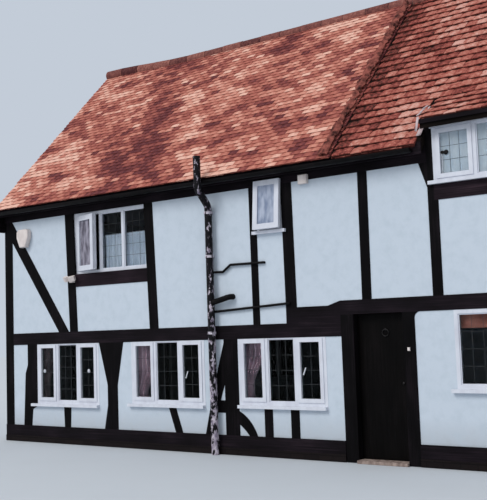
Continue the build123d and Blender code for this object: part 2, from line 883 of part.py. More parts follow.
roof_front_left = slope(0, old_tile_start, -eaves_overhang, -rafter_foot_overhang, verge_overhang)
roof_front_right = slope(old_tile_start, upper_post_x, -eaves_overhang, -rafter_foot_overhang) \
    + slope(upper_post_x, house_length, dormer_meet_y, dormer_meet_y)
roof_back = mirror(slope(0, house_length, -eaves_overhang, -rafter_foot_overhang, verge_overhang),
                   Plane.XZ.offset(-ridge_y))
dormer_tile_drop = tile_layer / math.cos(math.radians(dormer_pitch))
dormer_roof = section(
    [
        (-dormer_overhang, dormer_top(-dormer_overhang)),
        (dormer_meet_y, roof_top(dormer_meet_y)),
        (dormer_meet_y, roof_top(dormer_meet_y) - roof_plumb),
        (dormer_foot_y, dormer_under(dormer_foot_y)),
        (dormer_foot_y, dormer_top(dormer_foot_y) - dormer_tile_drop),
        (-dormer_overhang, dormer_top(-dormer_overhang) - dormer_tile_drop),
    ],
    upper_post_x, house_length,
)
ridge_round = Pos((house_length - verge_overhang) / 2, ridge_y, roof_top(ridge_y) - ridge_tile_sink) \
    * Rot(0, 90, 0) * Cylinder(ridge_tile_radius, house_length + verge_overhang)
under_ridge = section(
    [
        (ridge_y - 2 * ridge_tile_radius, roof_top(ridge_y - 2 * ridge_tile_radius)),
        (ridge_y, roof_top(ridge_y)),
        (ridge_y + 2 * ridge_tile_radius, roof_top(ridge_y + 2 * ridge_tile_radius)),
        (ridge_y, roof_top(ridge_y) - 4 * ridge_tile_radius),
    ],
    -2 * verge_overhang, house_length + verge_overhang,
)
ridge_tiles = ridge_round - under_ridge

bargeboard_foot = rafter_foot_overhang
bargeboards = section(
    [
        (-bargeboard_foot, roof_top(-bargeboard_foot) - tile_plumb),
        (ridge_y, roof_top(ridge_y) - tile_plumb),
        (house_depth + bargeboard_foot, roof_top(-bargeboard_foot) - tile_plumb),
        (house_depth + bargeboard_foot, roof_top(-bargeboard_foot) - tile_plumb - bargeboard_depth),
        (ridge_y, roof_top(ridge_y) - tile_plumb - bargeboard_depth / cos_main),
        (-bargeboard_foot, roof_top(-bargeboard_foot) - tile_plumb - bargeboard_depth),
    ],
    -bargeboard_thickness, 0,
)

# A box closes the eaves at the foot of each bargeboard
boxed_end = section(
    [
        (-rafter_foot_overhang, boxed_end_foot),
        (frame_depth, boxed_end_foot),
        (frame_depth, roof_top(frame_depth) - tile_plumb),
        (-rafter_foot_overhang, roof_top(-rafter_foot_overhang) - tile_plumb),
    ],
    -verge_overhang, 0,
)
bargeboards = bargeboards + boxed_end + mirror(boxed_end, Plane.XZ.offset(-ridge_y))

# Eaves boards and gutters
fascia_face = -(rafter_foot_overhang + fascia_thickness)
fascia_top = roof_top(fascia_face) - tile_plumb
front_fascia = block(-verge_overhang, upper_post_x, fascia_face, -rafter_foot_overhang,
                     fascia_top - fascia_height, fascia_top)
back_fascia = block(-verge_overhang, house_length, house_depth + rafter_foot_overhang,
                    house_depth - fascia_face, fascia_top - fascia_height, fascia_top)
dormer_fascia = block(upper_post_x, house_length, -dormer_overhang, dormer_foot_y,
                      dormer_under(dormer_foot_y), dormer_top(-dormer_overhang) - dormer_tile_drop)
gutter_y = fascia_face - gutter_radius - gutter_seat_gap
gutter_rim = roof_top(-eaves_overhang) - tile_plumb - gutter_rim_drop


def gutter(x0, x1, y):
    """A half-round channel with stopped ends."""
    length = x1 - x0
    along = Pos((x0 + x1) / 2, y, gutter_rim) * Rot(0, 90, 0)
    outside = along * Cylinder(gutter_radius, length)
    inside = along * Cylinder(gutter_radius - gutter_wall, length - 2 * gutter_wall)
    above = block(x0 - 1, x1 + 1, y - gutter_radius - 1, y + gutter_radius + 1, gutter_rim,
                  gutter_rim + gutter_radius + 1)
    return outside - inside - above


front_gutter = gutter(-verge_overhang, upper_post_x - 2 * gutter_radius, gutter_y)
back_gutter = gutter(-verge_overhang, house_length, house_depth - gutter_y)
flashing_foot_y = -rafter_foot_overhang
flashing = section(
    [
        (flashing_foot_y, roof_top(flashing_foot_y)),
        (flashing_head_y, roof_top(flashing_head_y)),
        (flashing_head_y, roof_top(flashing_head_y) + flashing_thickness),
        (flashing_foot_y, roof_top(flashing_foot_y) + flashing_thickness),
    ],
    upper_post_x - flashing_width, upper_post_x,
)

# Front door, hung on butt hinges on the inner edge of its left post
door_y0 = inner_face - door_thickness
door_bottom = threshold_height + door_floor_gap
door_top = right_rail_bottom - door_floor_gap
door_leaf = block(door_left + door_hinge_gap, door_right - door_lock_gap, door_y0, inner_face,
                  door_bottom, door_top)
hinge_x = door_left + door_hinge_gap / 2
hinge_y = inner_face + hinge_knuckle_radius
threshold = block(door_left, door_right, -threshold_projection, inner_face, 0, threshold_height)


def hinge_half(z0, x_flap_0, x_flap_1):
    """One knuckle and its flap, flat on the wood."""
    knuckle = Pos(hinge_x, hinge_y, z0 + hinge_knuckle_length / 2) \
        * Cylinder(hinge_knuckle_radius, hinge_knuckle_length)
    flap = block(x_flap_0, x_flap_1, inner_face, inner_face + hinge_leaf_thickness,
                 z0, z0 + hinge_knuckle_length)
    return knuckle + flap


frame_hinges, door_hinges = [], []
for index in range(hinge_count):
    z = door_bottom + (door_top - door_bottom) * (index + 0.5) / hinge_count
    lower_z = z - hinge_knuckle_length - hinge_play / 2
    frame_hinges.append(hinge_half(lower_z, door_left - hinge_leaf_width, hinge_x))
    door_hinges.append(hinge_half(z + hinge_play / 2, hinge_x, door_left + door_hinge_gap + hinge_leaf_width))

knocker_x = door_left + knocker_from_hinge
knocker_boss = Pos(knocker_x, door_y0 - knocker_bar_radius, knocker_height + knocker_ring_radius) \
    * Rot(90, 0, 0) * Cylinder(knocker_bar_radius * 2, knocker_bar_radius * 2)
knocker_ring = Pos(knocker_x, door_y0 - knocker_bar_radius, knocker_height) * Rot(90, 0, 0) \
    * Torus(knocker_ring_radius, knocker_bar_radius)
handle_x = door_right - door_lock_gap - handle_from_edge
handle_rose = Pos(handle_x, door_y0 - handle_rose_depth / 2, handle_height) * Rot(90, 0, 0) \
    * Cylinder(handle_radius, handle_rose_depth)
handle_stem = Pos(handle_x, door_y0 - handle_reach / 2, handle_height) * Rot(90, 0, 0) \
    * Cylinder(handle_stem_radius, handle_reach)
handle_knob = Pos(handle_x, door_y0 - handle_reach, handle_height) * Sphere(handle_radius)

# Soil pipe with its swan neck round the gutter
soil_x = main_post_x - soil_pipe_from_main_post
soil_y = -(soil_pipe_radius + soil_pipe_gap)
soil_neck_y = gutter_y - gutter_radius - soil_pipe_radius - soil_pipe_gutter_gap
soil_neck_bottom = gutter_rim - soil_pipe_neck_below_gutter
soil_neck_top = soil_neck_bottom + (soil_y - soil_neck_y)
soil_route = FilletPolyline(
    (soil_x, soil_y, 0), (soil_x, soil_y, soil_neck_bottom), (soil_x, soil_neck_y, soil_neck_top),
    (soil_x, soil_neck_y, gutter_rim + soil_pipe_above_gutter), radius=soil_pipe_bend_radius,
)


def rod(route, radius):
    return sweep(Plane(origin=route @ 0, z_dir=route % 0) * Circle(radius), path=route)


soil_pipe = rod(soil_route, soil_pipe_radius)


def pipe(points, radius, bend):
    """A round pipe along straight runs joined by bends, trimmed where it meets the soil pipe."""
    whole = rod(FilletPolyline(*points, radius=bend), radius)
    return (whole - soil_pipe).solids().sort_by(Axis.X)[-1]


waste_y = -(waste_radius + waste_wall_gap)
upper_waste_low = upper_waste_height - upper_waste_fall
upper_waste_high = upper_waste_height + upper_waste_step
upper_waste_end = soil_x + upper_waste_reach
upper_waste = pipe(
    [(soil_x, waste_y, upper_waste_height), (soil_x + upper_waste_first_run, waste_y, upper_waste_low),
     (soil_x + upper_waste_step_end, waste_y, upper_waste_high),
     (upper_waste_end, waste_y, upper_waste_high - upper_waste_fall),
     (upper_waste_end, infill_front, upper_waste_high - upper_waste_fall)],
    waste_radius, waste_bend_radius,
)
lower_waste_end = bathroom_post_x + lower_waste_past_stud
lower_waste_high = lower_waste_height + lower_waste_rise
lower_waste = pipe(
    [(soil_x, waste_y, lower_waste_height), (lower_waste_end, waste_y, lower_waste_high),
     (lower_waste_end, 0, lower_waste_high)],
    waste_radius, waste_bend_radius,
)
branch_end = soil_x + branch_reach
branch_high = branch_height + branch_rise
branch = pipe(
    [(soil_x, soil_y, branch_height), (branch_end, soil_y, branch_high),
     (branch_end, infill_front, branch_high)],
    branch_radius, branch_bend_radius,
)


def bracket(z, wall_y):
    """A ring round the soil pipe on a lug from the wall."""
    ring = Cylinder(soil_pipe_radius + bracket_play + bracket_thickness, bracket_height)
    half = bracket_height / 2
    lug = block(-half, half, 0, wall_y - soil_y, -half, half)
    bore = Cylinder(soil_pipe_radius + bracket_play, bracket_height * 2)
    return Pos(soil_x, soil_y, z) * (ring + lug - bore)


brackets = [
    bracket(left_rail_bottom + rail_height / 2, 0),
    bracket(middle_bracket_height, infill_front),
    bracket(soil_neck_bottom - bracket_below_neck, infill_front),
]

# Small fittings
alarm_x = corner_post_width + alarm_from_corner
alarm_z = plate_bottom - alarm_below_plate
alarm_right = alarm_x + alarm_box_width
alarm_top = alarm_z + alarm_box_height
alarm_body = elevation(
    [
        (alarm_x + alarm_taper, alarm_z),
        (alarm_right - alarm_taper, alarm_z),
        (alarm_right, alarm_z + alarm_taper_height),
        (alarm_right, alarm_top - alarm_shoulder),
        (alarm_right - alarm_shoulder, alarm_top),
        (alarm_x + alarm_shoulder, alarm_top),
        (alarm_x, alarm_top - alarm_shoulder),
        (alarm_x, alarm_z + alarm_taper_height),
    ],
    -alarm_box_depth, 0,
)
alarm_body = fillet(alarm_body.faces().sort_by(Axis.Y)[0].edges(), alarm_edge_round)
vent_x = bathroom_post_x + bathroom_post_width + vent_from_post
vent_top = plate_bottom + vent_over_plate
vent_body = block(vent_x, vent_x + vent_box_width, -vent_box_depth, 0, vent_top - vent_box_height, vent_top)
vent_body = fillet(vent_body.faces().sort_by(Axis.Y)[0].edges(), vent_edge_round)
bell_x = door_right + bell_from_door
bell_push = block(bell_x, bell_x + bell_width, -bell_depth, 0,
                  bell_push_height, bell_push_height + bell_height)
bell_push = fillet(bell_push.faces().sort_by(Axis.Y)[0].edges(), bell_edge_round)


def security_light():
    """Two floodlight heads on one small wall box."""
    x = first_stud_x + first_stud_width / 2
    z = bedroom_sill - bedroom_rail_height / 2
    box_z = z - lamp_base_drop
    whole = block(x - lamp_base_width / 2, x + lamp_base_width / 2, -lamp_base_depth, 0, box_z,
                  box_z + lamp_base_height)
    for side in (-1, 1):
        head = Box(lamp_head_width, lamp_head_depth, lamp_head_height)
        head = chamfer(head.faces().sort_by(Axis.Y)[-1].edges(), lamp_bezel)
        at = Pos(x + side * lamp_head_spread, -lamp_head_reach, z + lamp_head_lift)
        whole = whole + at * Rot(lamp_head_turn, 0, side * lamp_head_turn) * head
    return whole


place("plinth", *plinth_pieces)
place("plinth_gable", plinth_gable)
place("corner_posts", *corner_posts)
place("jowled_posts", jowl, rebated(upper_post, [dormer_window]))
place("ground_posts", main_post, door_left_post, door_right_post)
place("ground_studs", *[cut(stud, window_holes[:3] + sill_holes[:3]) for stud in ground_studs], brace_rail)
place("upper_studs", *[rebated(stud, upper_windows)
                       for stud in (first_stud, second_post, thin_stud, bathroom_post, brown_stud)])
place("curved_braces", left_brace, right_brace)
place("diagonal_brace", diagonal_brace)
place("sill_beams", *sill_beams)
place("girding_rail_left", left_rail)
place("girding_rail_right", right_rail)
place("window_rails", bedroom_rail, dormer_rail)
place("wall_plates", front_plate, back_plate)
place("dormer_posts", dormer_left_post, dormer_right_post)
place("dormer_head", dormer_head)
place("ground_infill", ground_infill)
place("rendered_wall", rendered_wall)
place("upper_infill", upper_infill)
place("gable_rails", gable_sill, *gable_rails)
place("gable_studs", *gable_uprights)
place("gable_infill", gable_infill)
place("back_rail", back_rail)
place("back_studs", *back_studs)
place("back_infill", back_infill)
place("party_wall", party_wall)
place("ground_floor", ground_floor)
place("upper_floor", left_floor, right_floor)
place("tie_beams", *tie_beams, floor_beam)
place("roof_front_left", roof_front_left)
place("roof_front_right", roof_front_right)
place("roof_back", roof_back)
place("dormer_roof", dormer_roof)
place("ridge_tiles", ridge_tiles)
place("bargeboards", bargeboards)
place("fascias", front_fascia, back_fascia, dormer_fascia)
place("gutters", front_gutter, back_gutter)
place("front_window_frames", *[window.frame() for window in front_windows])
place("back_window_frames", *[window.frame() for window in back_row])
place("open_sashes", casement_ring, bathroom_ring)
place("window_glass", *[pane for window in front_windows + back_row for pane in window.glass()],
      casement_pane, bathroom_pane)
front_sills = [window.sill() for window in front_windows if window is not bedroom_window]
place("window_sills", *front_sills, *back_sills)
place("window_head_board", head_board)
place("front_door", door_leaf)
place("door_furniture", knocker_ring + knocker_boss, handle_rose + handle_stem + handle_knob)
place("door_hinges", *door_hinges)
place("frame_hinges", *frame_hinges)
place("threshold", threshold)
place("soil_pipe", soil_pipe)
place("waste_pipes", upper_waste, lower_waste, branch)
place("pipe_brackets", *brackets)
place("wall_boxes", alarm_body, vent_body, bell_push)
place("security_light", security_light())
place("dormer_flashing", flashing)

os.makedirs("parts", exist_ok=True)
for name, shape in nodes.items():
    export_step(shape, f"parts/{name}.step")
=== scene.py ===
# %% [markdown]
# # Dressing a timber-framed end house
# The carpentry, walls, roof planes and pipes of this house come ready made as a fixed frame. This
# lesson gives them their looks: real tiles instead of flat slopes, leaded lights, painted oak with
# its grain, lime render, and plain soft light. Everything is in metres and nothing is moved, so a
# new piece goes exactly where the frame says.

# %% Load the frame
import bpy
import bmesh
import math
import random
from mathutils import Matrix, Vector, noise


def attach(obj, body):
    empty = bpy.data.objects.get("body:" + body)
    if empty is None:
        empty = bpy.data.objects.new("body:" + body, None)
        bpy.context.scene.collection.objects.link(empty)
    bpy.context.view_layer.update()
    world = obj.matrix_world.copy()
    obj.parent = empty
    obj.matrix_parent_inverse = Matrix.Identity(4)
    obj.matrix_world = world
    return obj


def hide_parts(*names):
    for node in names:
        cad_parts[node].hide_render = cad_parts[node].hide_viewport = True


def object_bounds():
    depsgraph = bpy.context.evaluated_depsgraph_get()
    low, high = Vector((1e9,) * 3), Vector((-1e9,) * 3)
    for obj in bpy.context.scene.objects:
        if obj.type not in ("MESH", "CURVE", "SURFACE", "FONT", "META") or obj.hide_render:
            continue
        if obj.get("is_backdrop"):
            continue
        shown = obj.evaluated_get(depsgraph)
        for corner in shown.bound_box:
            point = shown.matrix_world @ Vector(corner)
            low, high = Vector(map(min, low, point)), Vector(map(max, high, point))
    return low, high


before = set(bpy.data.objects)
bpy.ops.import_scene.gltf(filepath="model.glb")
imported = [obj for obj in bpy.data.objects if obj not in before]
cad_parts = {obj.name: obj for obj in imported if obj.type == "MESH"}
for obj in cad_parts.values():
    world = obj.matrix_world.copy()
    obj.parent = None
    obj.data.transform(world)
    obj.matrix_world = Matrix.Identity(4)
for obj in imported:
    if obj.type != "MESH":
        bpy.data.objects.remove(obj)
cad_low, cad_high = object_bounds()
print("pieces of the frame:", len(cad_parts))
print("overall size:", [round(v, 3) for v in cad_high - cad_low])

# %% [markdown]
# A house is easiest to think about from one corner: x along the front wall, y back into the house
# and z up from the foot of the walls. The frame's own origin is the middle of the plan, so one
# small function moves a point from the corner's numbers to the frame's.

# %% From the corner of the house to the frame
HOUSE_LENGTH = 10.4
HOUSE_DEPTH = 5.7


def at(x, y, z):
    """A point measured from the left front corner of the house, in the frame's own place."""
    return Vector((x - HOUSE_LENGTH / 2, y - HOUSE_DEPTH / 2, z))


print("left front corner is at", tuple(at(0, 0, 0)))

# %% [markdown]
# The photograph was taken at about head height from well to the right of the house, looking
# slightly up and with the camera leaning by two degrees. A camera is a place and three directions.
# Turning it by yaw, pitch and roll gives a right, an up and a back direction, and those are the
# columns of its matrix. The lens follows from the picture's width in pixels.

# %% Camera at the photograph's place
IMAGE_WIDTH = 487
FOCAL_PIXELS = 896.4
SENSOR_WIDTH = 36
CAMERA_PLACE = (12.876, -10.616, 1.803)
YAW_PITCH_ROLL = (-35.544, 5.077, 1.980)


def in_scene(name, data):
    """A new object with this data, linked into the scene."""
    made = bpy.data.objects.new(name, data)
    bpy.context.scene.collection.objects.link(made)
    return made


yaw, pitch, roll = (math.radians(angle) for angle in YAW_PITCH_ROLL)
forward = Vector((math.sin(yaw) * math.cos(pitch), math.cos(yaw) * math.cos(pitch),
                  math.sin(pitch)))
level_right = Vector((math.cos(yaw), -math.sin(yaw), 0))
level_down = forward.cross(level_right)
right = math.cos(roll) * level_right + math.sin(roll) * level_down
down = -math.sin(roll) * level_right + math.cos(roll) * level_down

camera_data = bpy.data.cameras.new("front_camera")
camera_data.sensor_fit = "HORIZONTAL"
camera_data.sensor_width = SENSOR_WIDTH
camera_data.lens = SENSOR_WIDTH * FOCAL_PIXELS / IMAGE_WIDTH
camera = in_scene("front_camera", camera_data)
camera_turn = Matrix((right, -down, -forward)).transposed().to_4x4()
camera.matrix_world = Matrix.Translation(at(*CAMERA_PLACE)) @ camera_turn
bpy.context.scene.camera = camera
print("lens in mm:", round(camera_data.lens, 2))

# %% [markdown]
# Every finish is a small tree of nodes. A few helpers are enough: one turns a colour written as on
# a paint card into the linear numbers that light is worked out with, one adds any node with its
# settings, its numbers and its links, one starts a finish, and one links into a node's input. A
# Mix node keeps its two colours in inputs 6 and 7, and gives the mixed one in output 2.

# %% Helpers for finishes


def srgb(code):
    """The linear colour of a hex code such as #c8b090."""
    parts = [int(code[i:i + 2], 16) / 255 for i in (1, 3, 5)]
    return [p / 12.92 if p <= 0.04045 else ((p + 0.055) / 1.055) ** 2.4 for p in parts] + [1]


def add(tree, kind, inputs=None, stops=None, **settings):
    """One node: inputs by name or number (a value or a socket), ramp stops, settings by name."""
    node = tree.nodes.new("ShaderNode" + kind)
    for name, value in settings.items():
        setattr(node, name, value)
    for key, value in (inputs or {}).items():
        if isinstance(value, bpy.types.NodeSocket):
            tree.links.new(value, node.inputs[key])
        else:
            node.inputs[key].default_value = value
    if stops:
        elements = node.color_ramp.elements
        while len(elements) < len(stops):
            elements.new(0.5)
        for element, (position, colour) in zip(elements, stops):
            element.position = position
            element.color = srgb(colour)
    return node


def new_finish(name, **shader_inputs):
    """An empty material with its shader, and the object's own coordinates to hang patterns on."""
    material = bpy.data.materials.new(name)
    material.use_nodes = True
    tree = material.node_tree
    tree.nodes.clear()
    shader = add(tree, "BsdfPrincipled", {k.replace("_", " "): v for k, v in shader_inputs.items()})
    add(tree, "OutputMaterial", {"Surface": shader.outputs["BSDF"]})
    place = add(tree, "TexCoord").outputs["Object"]
    return material, tree, shader, place


def set_input(tree, node, key, socket):
    tree.links.new(socket, node.inputs[key])


print("a mid grey of #808080 is", round(srgb("#808080")[0], 3), "in light")

# %% [markdown]
# **Black painted oak.** The frame of the house is old hewn oak under many coats of black paint.
# The paint fills the pores but the long grain and the adze marks still show as ripples, and it has
# gone a little brown where it is thin. The grain runs along each timber, so there is one finish
# for posts, one for rails and one for the timbers of the gable that run front to back. The rails
# under two windows are more worn, the ties inside are bare, and the door has fresher paint. Grain
# is stretched noise: close together across the timber (about 12 mm) and a metre or so along it.
# Old paint is dull, so its specular level is far below the usual 0.5, and the black stays black.

# %% Black painted oak, along each direction


def painted_oak(name, along, coats=("#050405", "#0b090b", "#1c161b"), roughness=0.7, gloss=0.06):
    material, tree, shader, place = new_finish(name, Roughness=roughness, Specular_IOR_Level=gloss)
    across, length = 80.0, 1.2
    scale = [across, across, across]
    scale[along] = length
    grained = add(tree, "Mapping", {"Vector": place, "Scale": scale}).outputs["Vector"]
    grain = add(tree, "TexNoise", {"Vector": grained, "Scale": 1.0, "Detail": 4.0}).outputs["Fac"]
    slow = [3.0, 3.0, 3.0]
    slow[along] = 1.0
    adzed = add(tree, "Mapping", {"Vector": place, "Scale": slow}).outputs["Vector"]
    patch = add(tree, "TexNoise", {"Vector": adzed, "Scale": 1.6, "Detail": 3.0}).outputs["Fac"]
    both = add(tree, "Math", {0: grain, 1: patch}, operation="MULTIPLY").outputs["Value"]
    stops = [(0.12, coats[0]), (0.28, coats[1]), (0.48, coats[2])]
    colour = add(tree, "ValToRGB", {"Fac": both}, stops).outputs["Color"]
    set_input(tree, shader, "Base Color", colour)
    fine = add(tree, "Bump", {"Height": grain, "Strength": 0.5, "Distance": 0.002})
    coarse = add(tree, "Bump", {"Height": patch, "Strength": 0.6, "Distance": 0.012,
                                "Normal": fine.outputs["Normal"]})
    set_input(tree, shader, "Normal", coarse.outputs["Normal"])
    return material


oak_across = painted_oak("black_painted_oak_across", 0, ("#0d0a0c", "#171217", "#2b2228"))
oak_along = painted_oak("black_painted_oak_along", 1)
oak_upright = painted_oak("black_painted_oak_upright", 2)
oak_worn = painted_oak("black_painted_oak_worn", 0, ("#110c0f", "#20181e", "#382b32"))
bare_oak = painted_oak("old_bare_oak", 1, ("#3d2b1f", "#5d4636", "#7a614c"), 0.75, 0.3)
door_paint = painted_oak("black_eggshell_paint", 2, ("#030202", "#080606", "#120e0f"), 0.5, 0.06)
print("oak finishes:", [m.name for m in bpy.data.materials if "oak" in m.name])

# %% [markdown]
# **Lime render under masonry paint.** Between the timbers the house is plastered and painted a
# cold white. A trowelled coat is never flat: it swells gently every few hundred millimetres, has
# sand of a millimetre or two in it, and it gathers grey dust towards the foot of the wall. The
# sand is too fine to show from so far, so it is drawn at about 6 mm.

# %% Painted lime render


def lime_render(name, clean_and_lit, dusty, foot):
    material, tree, shader, place = new_finish(name, Roughness=0.88)
    swell = add(tree, "TexNoise", {"Vector": place, "Scale": 2.6, "Detail": 3.0}).outputs["Fac"]
    sand = add(tree, "TexNoise", {"Vector": place, "Scale": 160.0, "Detail": 2.0}).outputs["Fac"]
    mottled = add(tree, "TexNoise", {"Vector": place, "Scale": 6.0, "Detail": 5.0,
                                     "Roughness": 0.65}).outputs["Fac"]
    colour = add(tree, "ValToRGB", {"Fac": mottled}, [(0.3, dusty), (0.55, clean_and_lit)]).outputs["Color"]
    height = add(tree, "SeparateXYZ", {"Vector": place}).outputs["Z"]
    low = add(tree, "MapRange", {"Value": height, "From Min": 0.28, "From Max": 0.62,
                                 "To Min": 0.7, "To Max": 0.0}).outputs["Result"]
    splashed = add(tree, "Math", {0: low, 1: mottled}, operation="MULTIPLY").outputs["Value"]
    whole = add(tree, "Mix", {0: splashed, 6: colour, 7: srgb(foot)}, data_type="RGBA")
    set_input(tree, shader, "Base Color", whole.outputs[2])
    fine = add(tree, "Bump", {"Height": sand, "Strength": 0.35, "Distance": 0.002})
    soft = add(tree, "Bump", {"Height": swell, "Strength": 0.3, "Distance": 0.02,
                              "Normal": fine.outputs["Normal"]})
    set_input(tree, shader, "Normal", soft.outputs["Normal"])
    return material


render_white = lime_render("painted_lime_render", "#c4cfdb", "#bcc8d4", "#8f9092")
render_party = lime_render("party_wall_render", "#b3b6b8", "#a2a5a8", "#8b8c8d")
print("render finishes made")

# %% [markdown]
# **Smooth made things.** Window frames, boxes, gutters and bell are moulded or extruded plastic:
# an even colour, a soft sheen and the faintest ripple, with rain dust caught on them. One recipe
# serves them all with other colours and other sheen.

# %% Moulded plastics, paint and metal


def smooth_finish(name, clean_and_lit, dusty, roughness, dust_scale=9.0, metallic=0.0, gloss=0.5):
    material, tree, shader, place = new_finish(name, Roughness=roughness, Metallic=metallic,
                                               Specular_IOR_Level=gloss)
    streaked = add(tree, "Mapping", {"Vector": place, "Scale": (1.0, 1.0, 0.35)}).outputs["Vector"]
    dust = add(tree, "TexNoise", {"Vector": streaked, "Scale": dust_scale, "Detail": 5.0,
                                  "Roughness": 0.6}).outputs["Fac"]
    colour = add(tree, "ValToRGB", {"Fac": dust}, [(0.36, dusty), (0.6, clean_and_lit)]).outputs["Color"]
    set_input(tree, shader, "Base Color", colour)
    ripple = add(tree, "Bump", {"Height": dust, "Strength": 0.1, "Distance": 0.001})
    set_input(tree, shader, "Normal", ripple.outputs["Normal"])
    return material


white_plastic = smooth_finish("white_extruded_plastic", "#d6dae4", "#cbced9", 0.45)
cream_plastic = smooth_finish("cream_moulded_plastic", "#e2d8d4", "#cfc4c0", 0.45)
black_plastic = smooth_finish("black_extruded_plastic", "#060506", "#120e0f", 0.5, gloss=0.1)
black_iron = smooth_finish("black_painted_iron", "#060506", "#171415", 0.42, 30.0, gloss=0.15)
steel = smooth_finish("dull_steel", "#3a3838", "#232121", 0.45, 60.0, metallic=1.0)
lead = smooth_finish("weathered_lead", "#c9b6b8", "#8f7f83", 0.6, 14.0)
came = smooth_finish("lead_cames", "#4c4f53", "#313437", 0.6, 40.0, gloss=0.2)
net_rod = smooth_finish("white_enamelled_wire", "#cfd3da", "#a9adb5", 0.4, 40.0)
stone = smooth_finish("worn_doorstep_stone", "#a8968d", "#6e5d57", 0.8, 12.0)
print("smooth finishes made")

# %% [markdown]
# ** Window glass.** The panes are clear sheets, so they are drawn as real glass: light goes through
# them and only a little is reflected. What makes a window look dark by day is not the glass but
# the unlit room behind it, and here the house really is hollow. What the lower panes would mirror
# is dark too, so the index is kept low. The ground floor is dimmest, so its panes take the deepest
# tint, a painted shade. The panes of the raised window are given a pale colour, a painted
# reflection of the sky. The bathroom's glass is obscured, the open casement's is in shade, and the
# panes at the back are drawn dark as painted shade, as glass with nothing but a dim room behind it.

# %% Glass


def window_glass(name, first, second, through, roughness, index):
    material, tree, shader, place = new_finish(name, Roughness=roughness, IOR=index,
                                               Transmission_Weight=through)
    tall = add(tree, "Mapping", {"Vector": place, "Scale": (16.0, 16.0, 5.0)}).outputs["Vector"]
    wave = add(tree, "TexNoise", {"Vector": tall, "Scale": 1.0, "Detail": 3.0}).outputs["Fac"]
    tint = add(tree, "ValToRGB", {"Fac": wave}, [(0.35, first), (0.65, second)]).outputs["Color"]
    set_input(tree, shader, "Base Color", tint)
    return material


clear_glass = window_glass("clear_window_glass", "#dde3e8", "#e9eef2", 1.0, 0.02, 1.15)
# The ground floor's deeper tint is a painted shade of the dim rooms behind it.
deep_glass = window_glass("deep_window_glass", "#9fa8a6", "#a8b1af", 1.0, 0.02, 1.12)
# Pale, partly opaque glass for the raised window: a painted reflection of the sky.
sky_reflection_glass = window_glass("painted_sky_reflection_glass", "#d3e2ee", "#e2edf4", 0.6, 0.08, 1.15)
obscured_glass = window_glass("obscured_window_glass", "#7f8ca6", "#b4bdd0", 0.1, 0.5, 1.3)
shaded_glass = window_glass("shaded_window_glass", "#57525f", "#a39fae", 0.1, 0.3, 1.3)
# An opaque dark sheet for the back panes: painted shade of a dim room.
dim_glass = window_glass("dim_window_glass", "#0c0f10", "#171c1e", 0.0, 0.12, 1.4)
glasses = [clear_glass, deep_glass, sky_reflection_glass, obscured_glass, shaded_glass, dim_glass]
print("glass made")

# %% [markdown]
# **Iron pipe with peeling paint.** The soil pipe was painted pale, then black over that, and the
# black is flaking off, most of all low down and on the brackets. The flakes are 10 to 60 mm and
# upright. Noise stretched upright, cut off hard, makes their edges, and a gentle change with
# height moves the cut so that more is bare low down.

# %% Peeling paint


def peeling_paint(name, black, pale, bare_low, bare_high):
    material, tree, shader, place = new_finish(name, Roughness=0.6, Specular_IOR_Level=0.15)
    tall = add(tree, "Mapping", {"Vector": place, "Scale": (18.0, 18.0, 9.0)}).outputs["Vector"]
    flake = add(tree, "TexNoise", {"Vector": tall, "Scale": 1.0, "Detail": 6.0,
                                   "Roughness": 0.7}).outputs["Fac"]
    height = add(tree, "SeparateXYZ", {"Vector": place}).outputs["Z"]
    bare = add(tree, "MapRange", {"Value": height, "From Min": 0.2, "From Max": 2.4,
                                  "To Min": bare_low, "To Max": bare_high}).outputs["Result"]
    shifted = add(tree, "Math", {0: flake, 1: bare}, operation="ADD").outputs["Value"]
    shade = add(tree, "TexNoise", {"Vector": place, "Scale": 14.0, "Detail": 3.0}).outputs["Fac"]
    under = add(tree, "ValToRGB", {"Fac": shade},
                [(0.35, pale[0]), (0.65, pale[1])]).outputs["Color"]
    edge = add(tree, "MapRange", {"Value": shifted, "From Min": 0.57,
                                  "From Max": 0.61}).outputs["Result"]
    colour = add(tree, "Mix", {0: edge, 6: srgb(black), 7: under}, data_type="RGBA").outputs[2]
    set_input(tree, shader, "Base Color", colour)
    lip = add(tree, "Bump", {"Height": edge, "Strength": 0.6, "Distance": -0.0015})
    set_input(tree, shader, "Normal", lip.outputs["Normal"])
    return material


peeling_iron = peeling_paint("peeling_painted_iron", "#0d0b0f", ("#82788a", "#cdc4d0"), 0.12, 0.01)
bare_iron = peeling_paint("bare_painted_iron", "#1d1a20", ("#8f8796", "#d6cfd9"), 0.14, 0.14)
print("peeling paint made")

# %% [markdown]
# **Masonry and floors.** The plinth is brickwork under thick black paint. Inside, the ground
# floor is brick and the upper floor is wide oak boards. Bricks are 215 by 65 mm with 10 mm joints
# in the plinth, the floor shows their wider side, and the boards are 180 mm wide. Blender's brick
# pattern takes those sizes straight, as a bump and a colour, and is turned to face the front or
# the side.

# %% Brick and board finishes


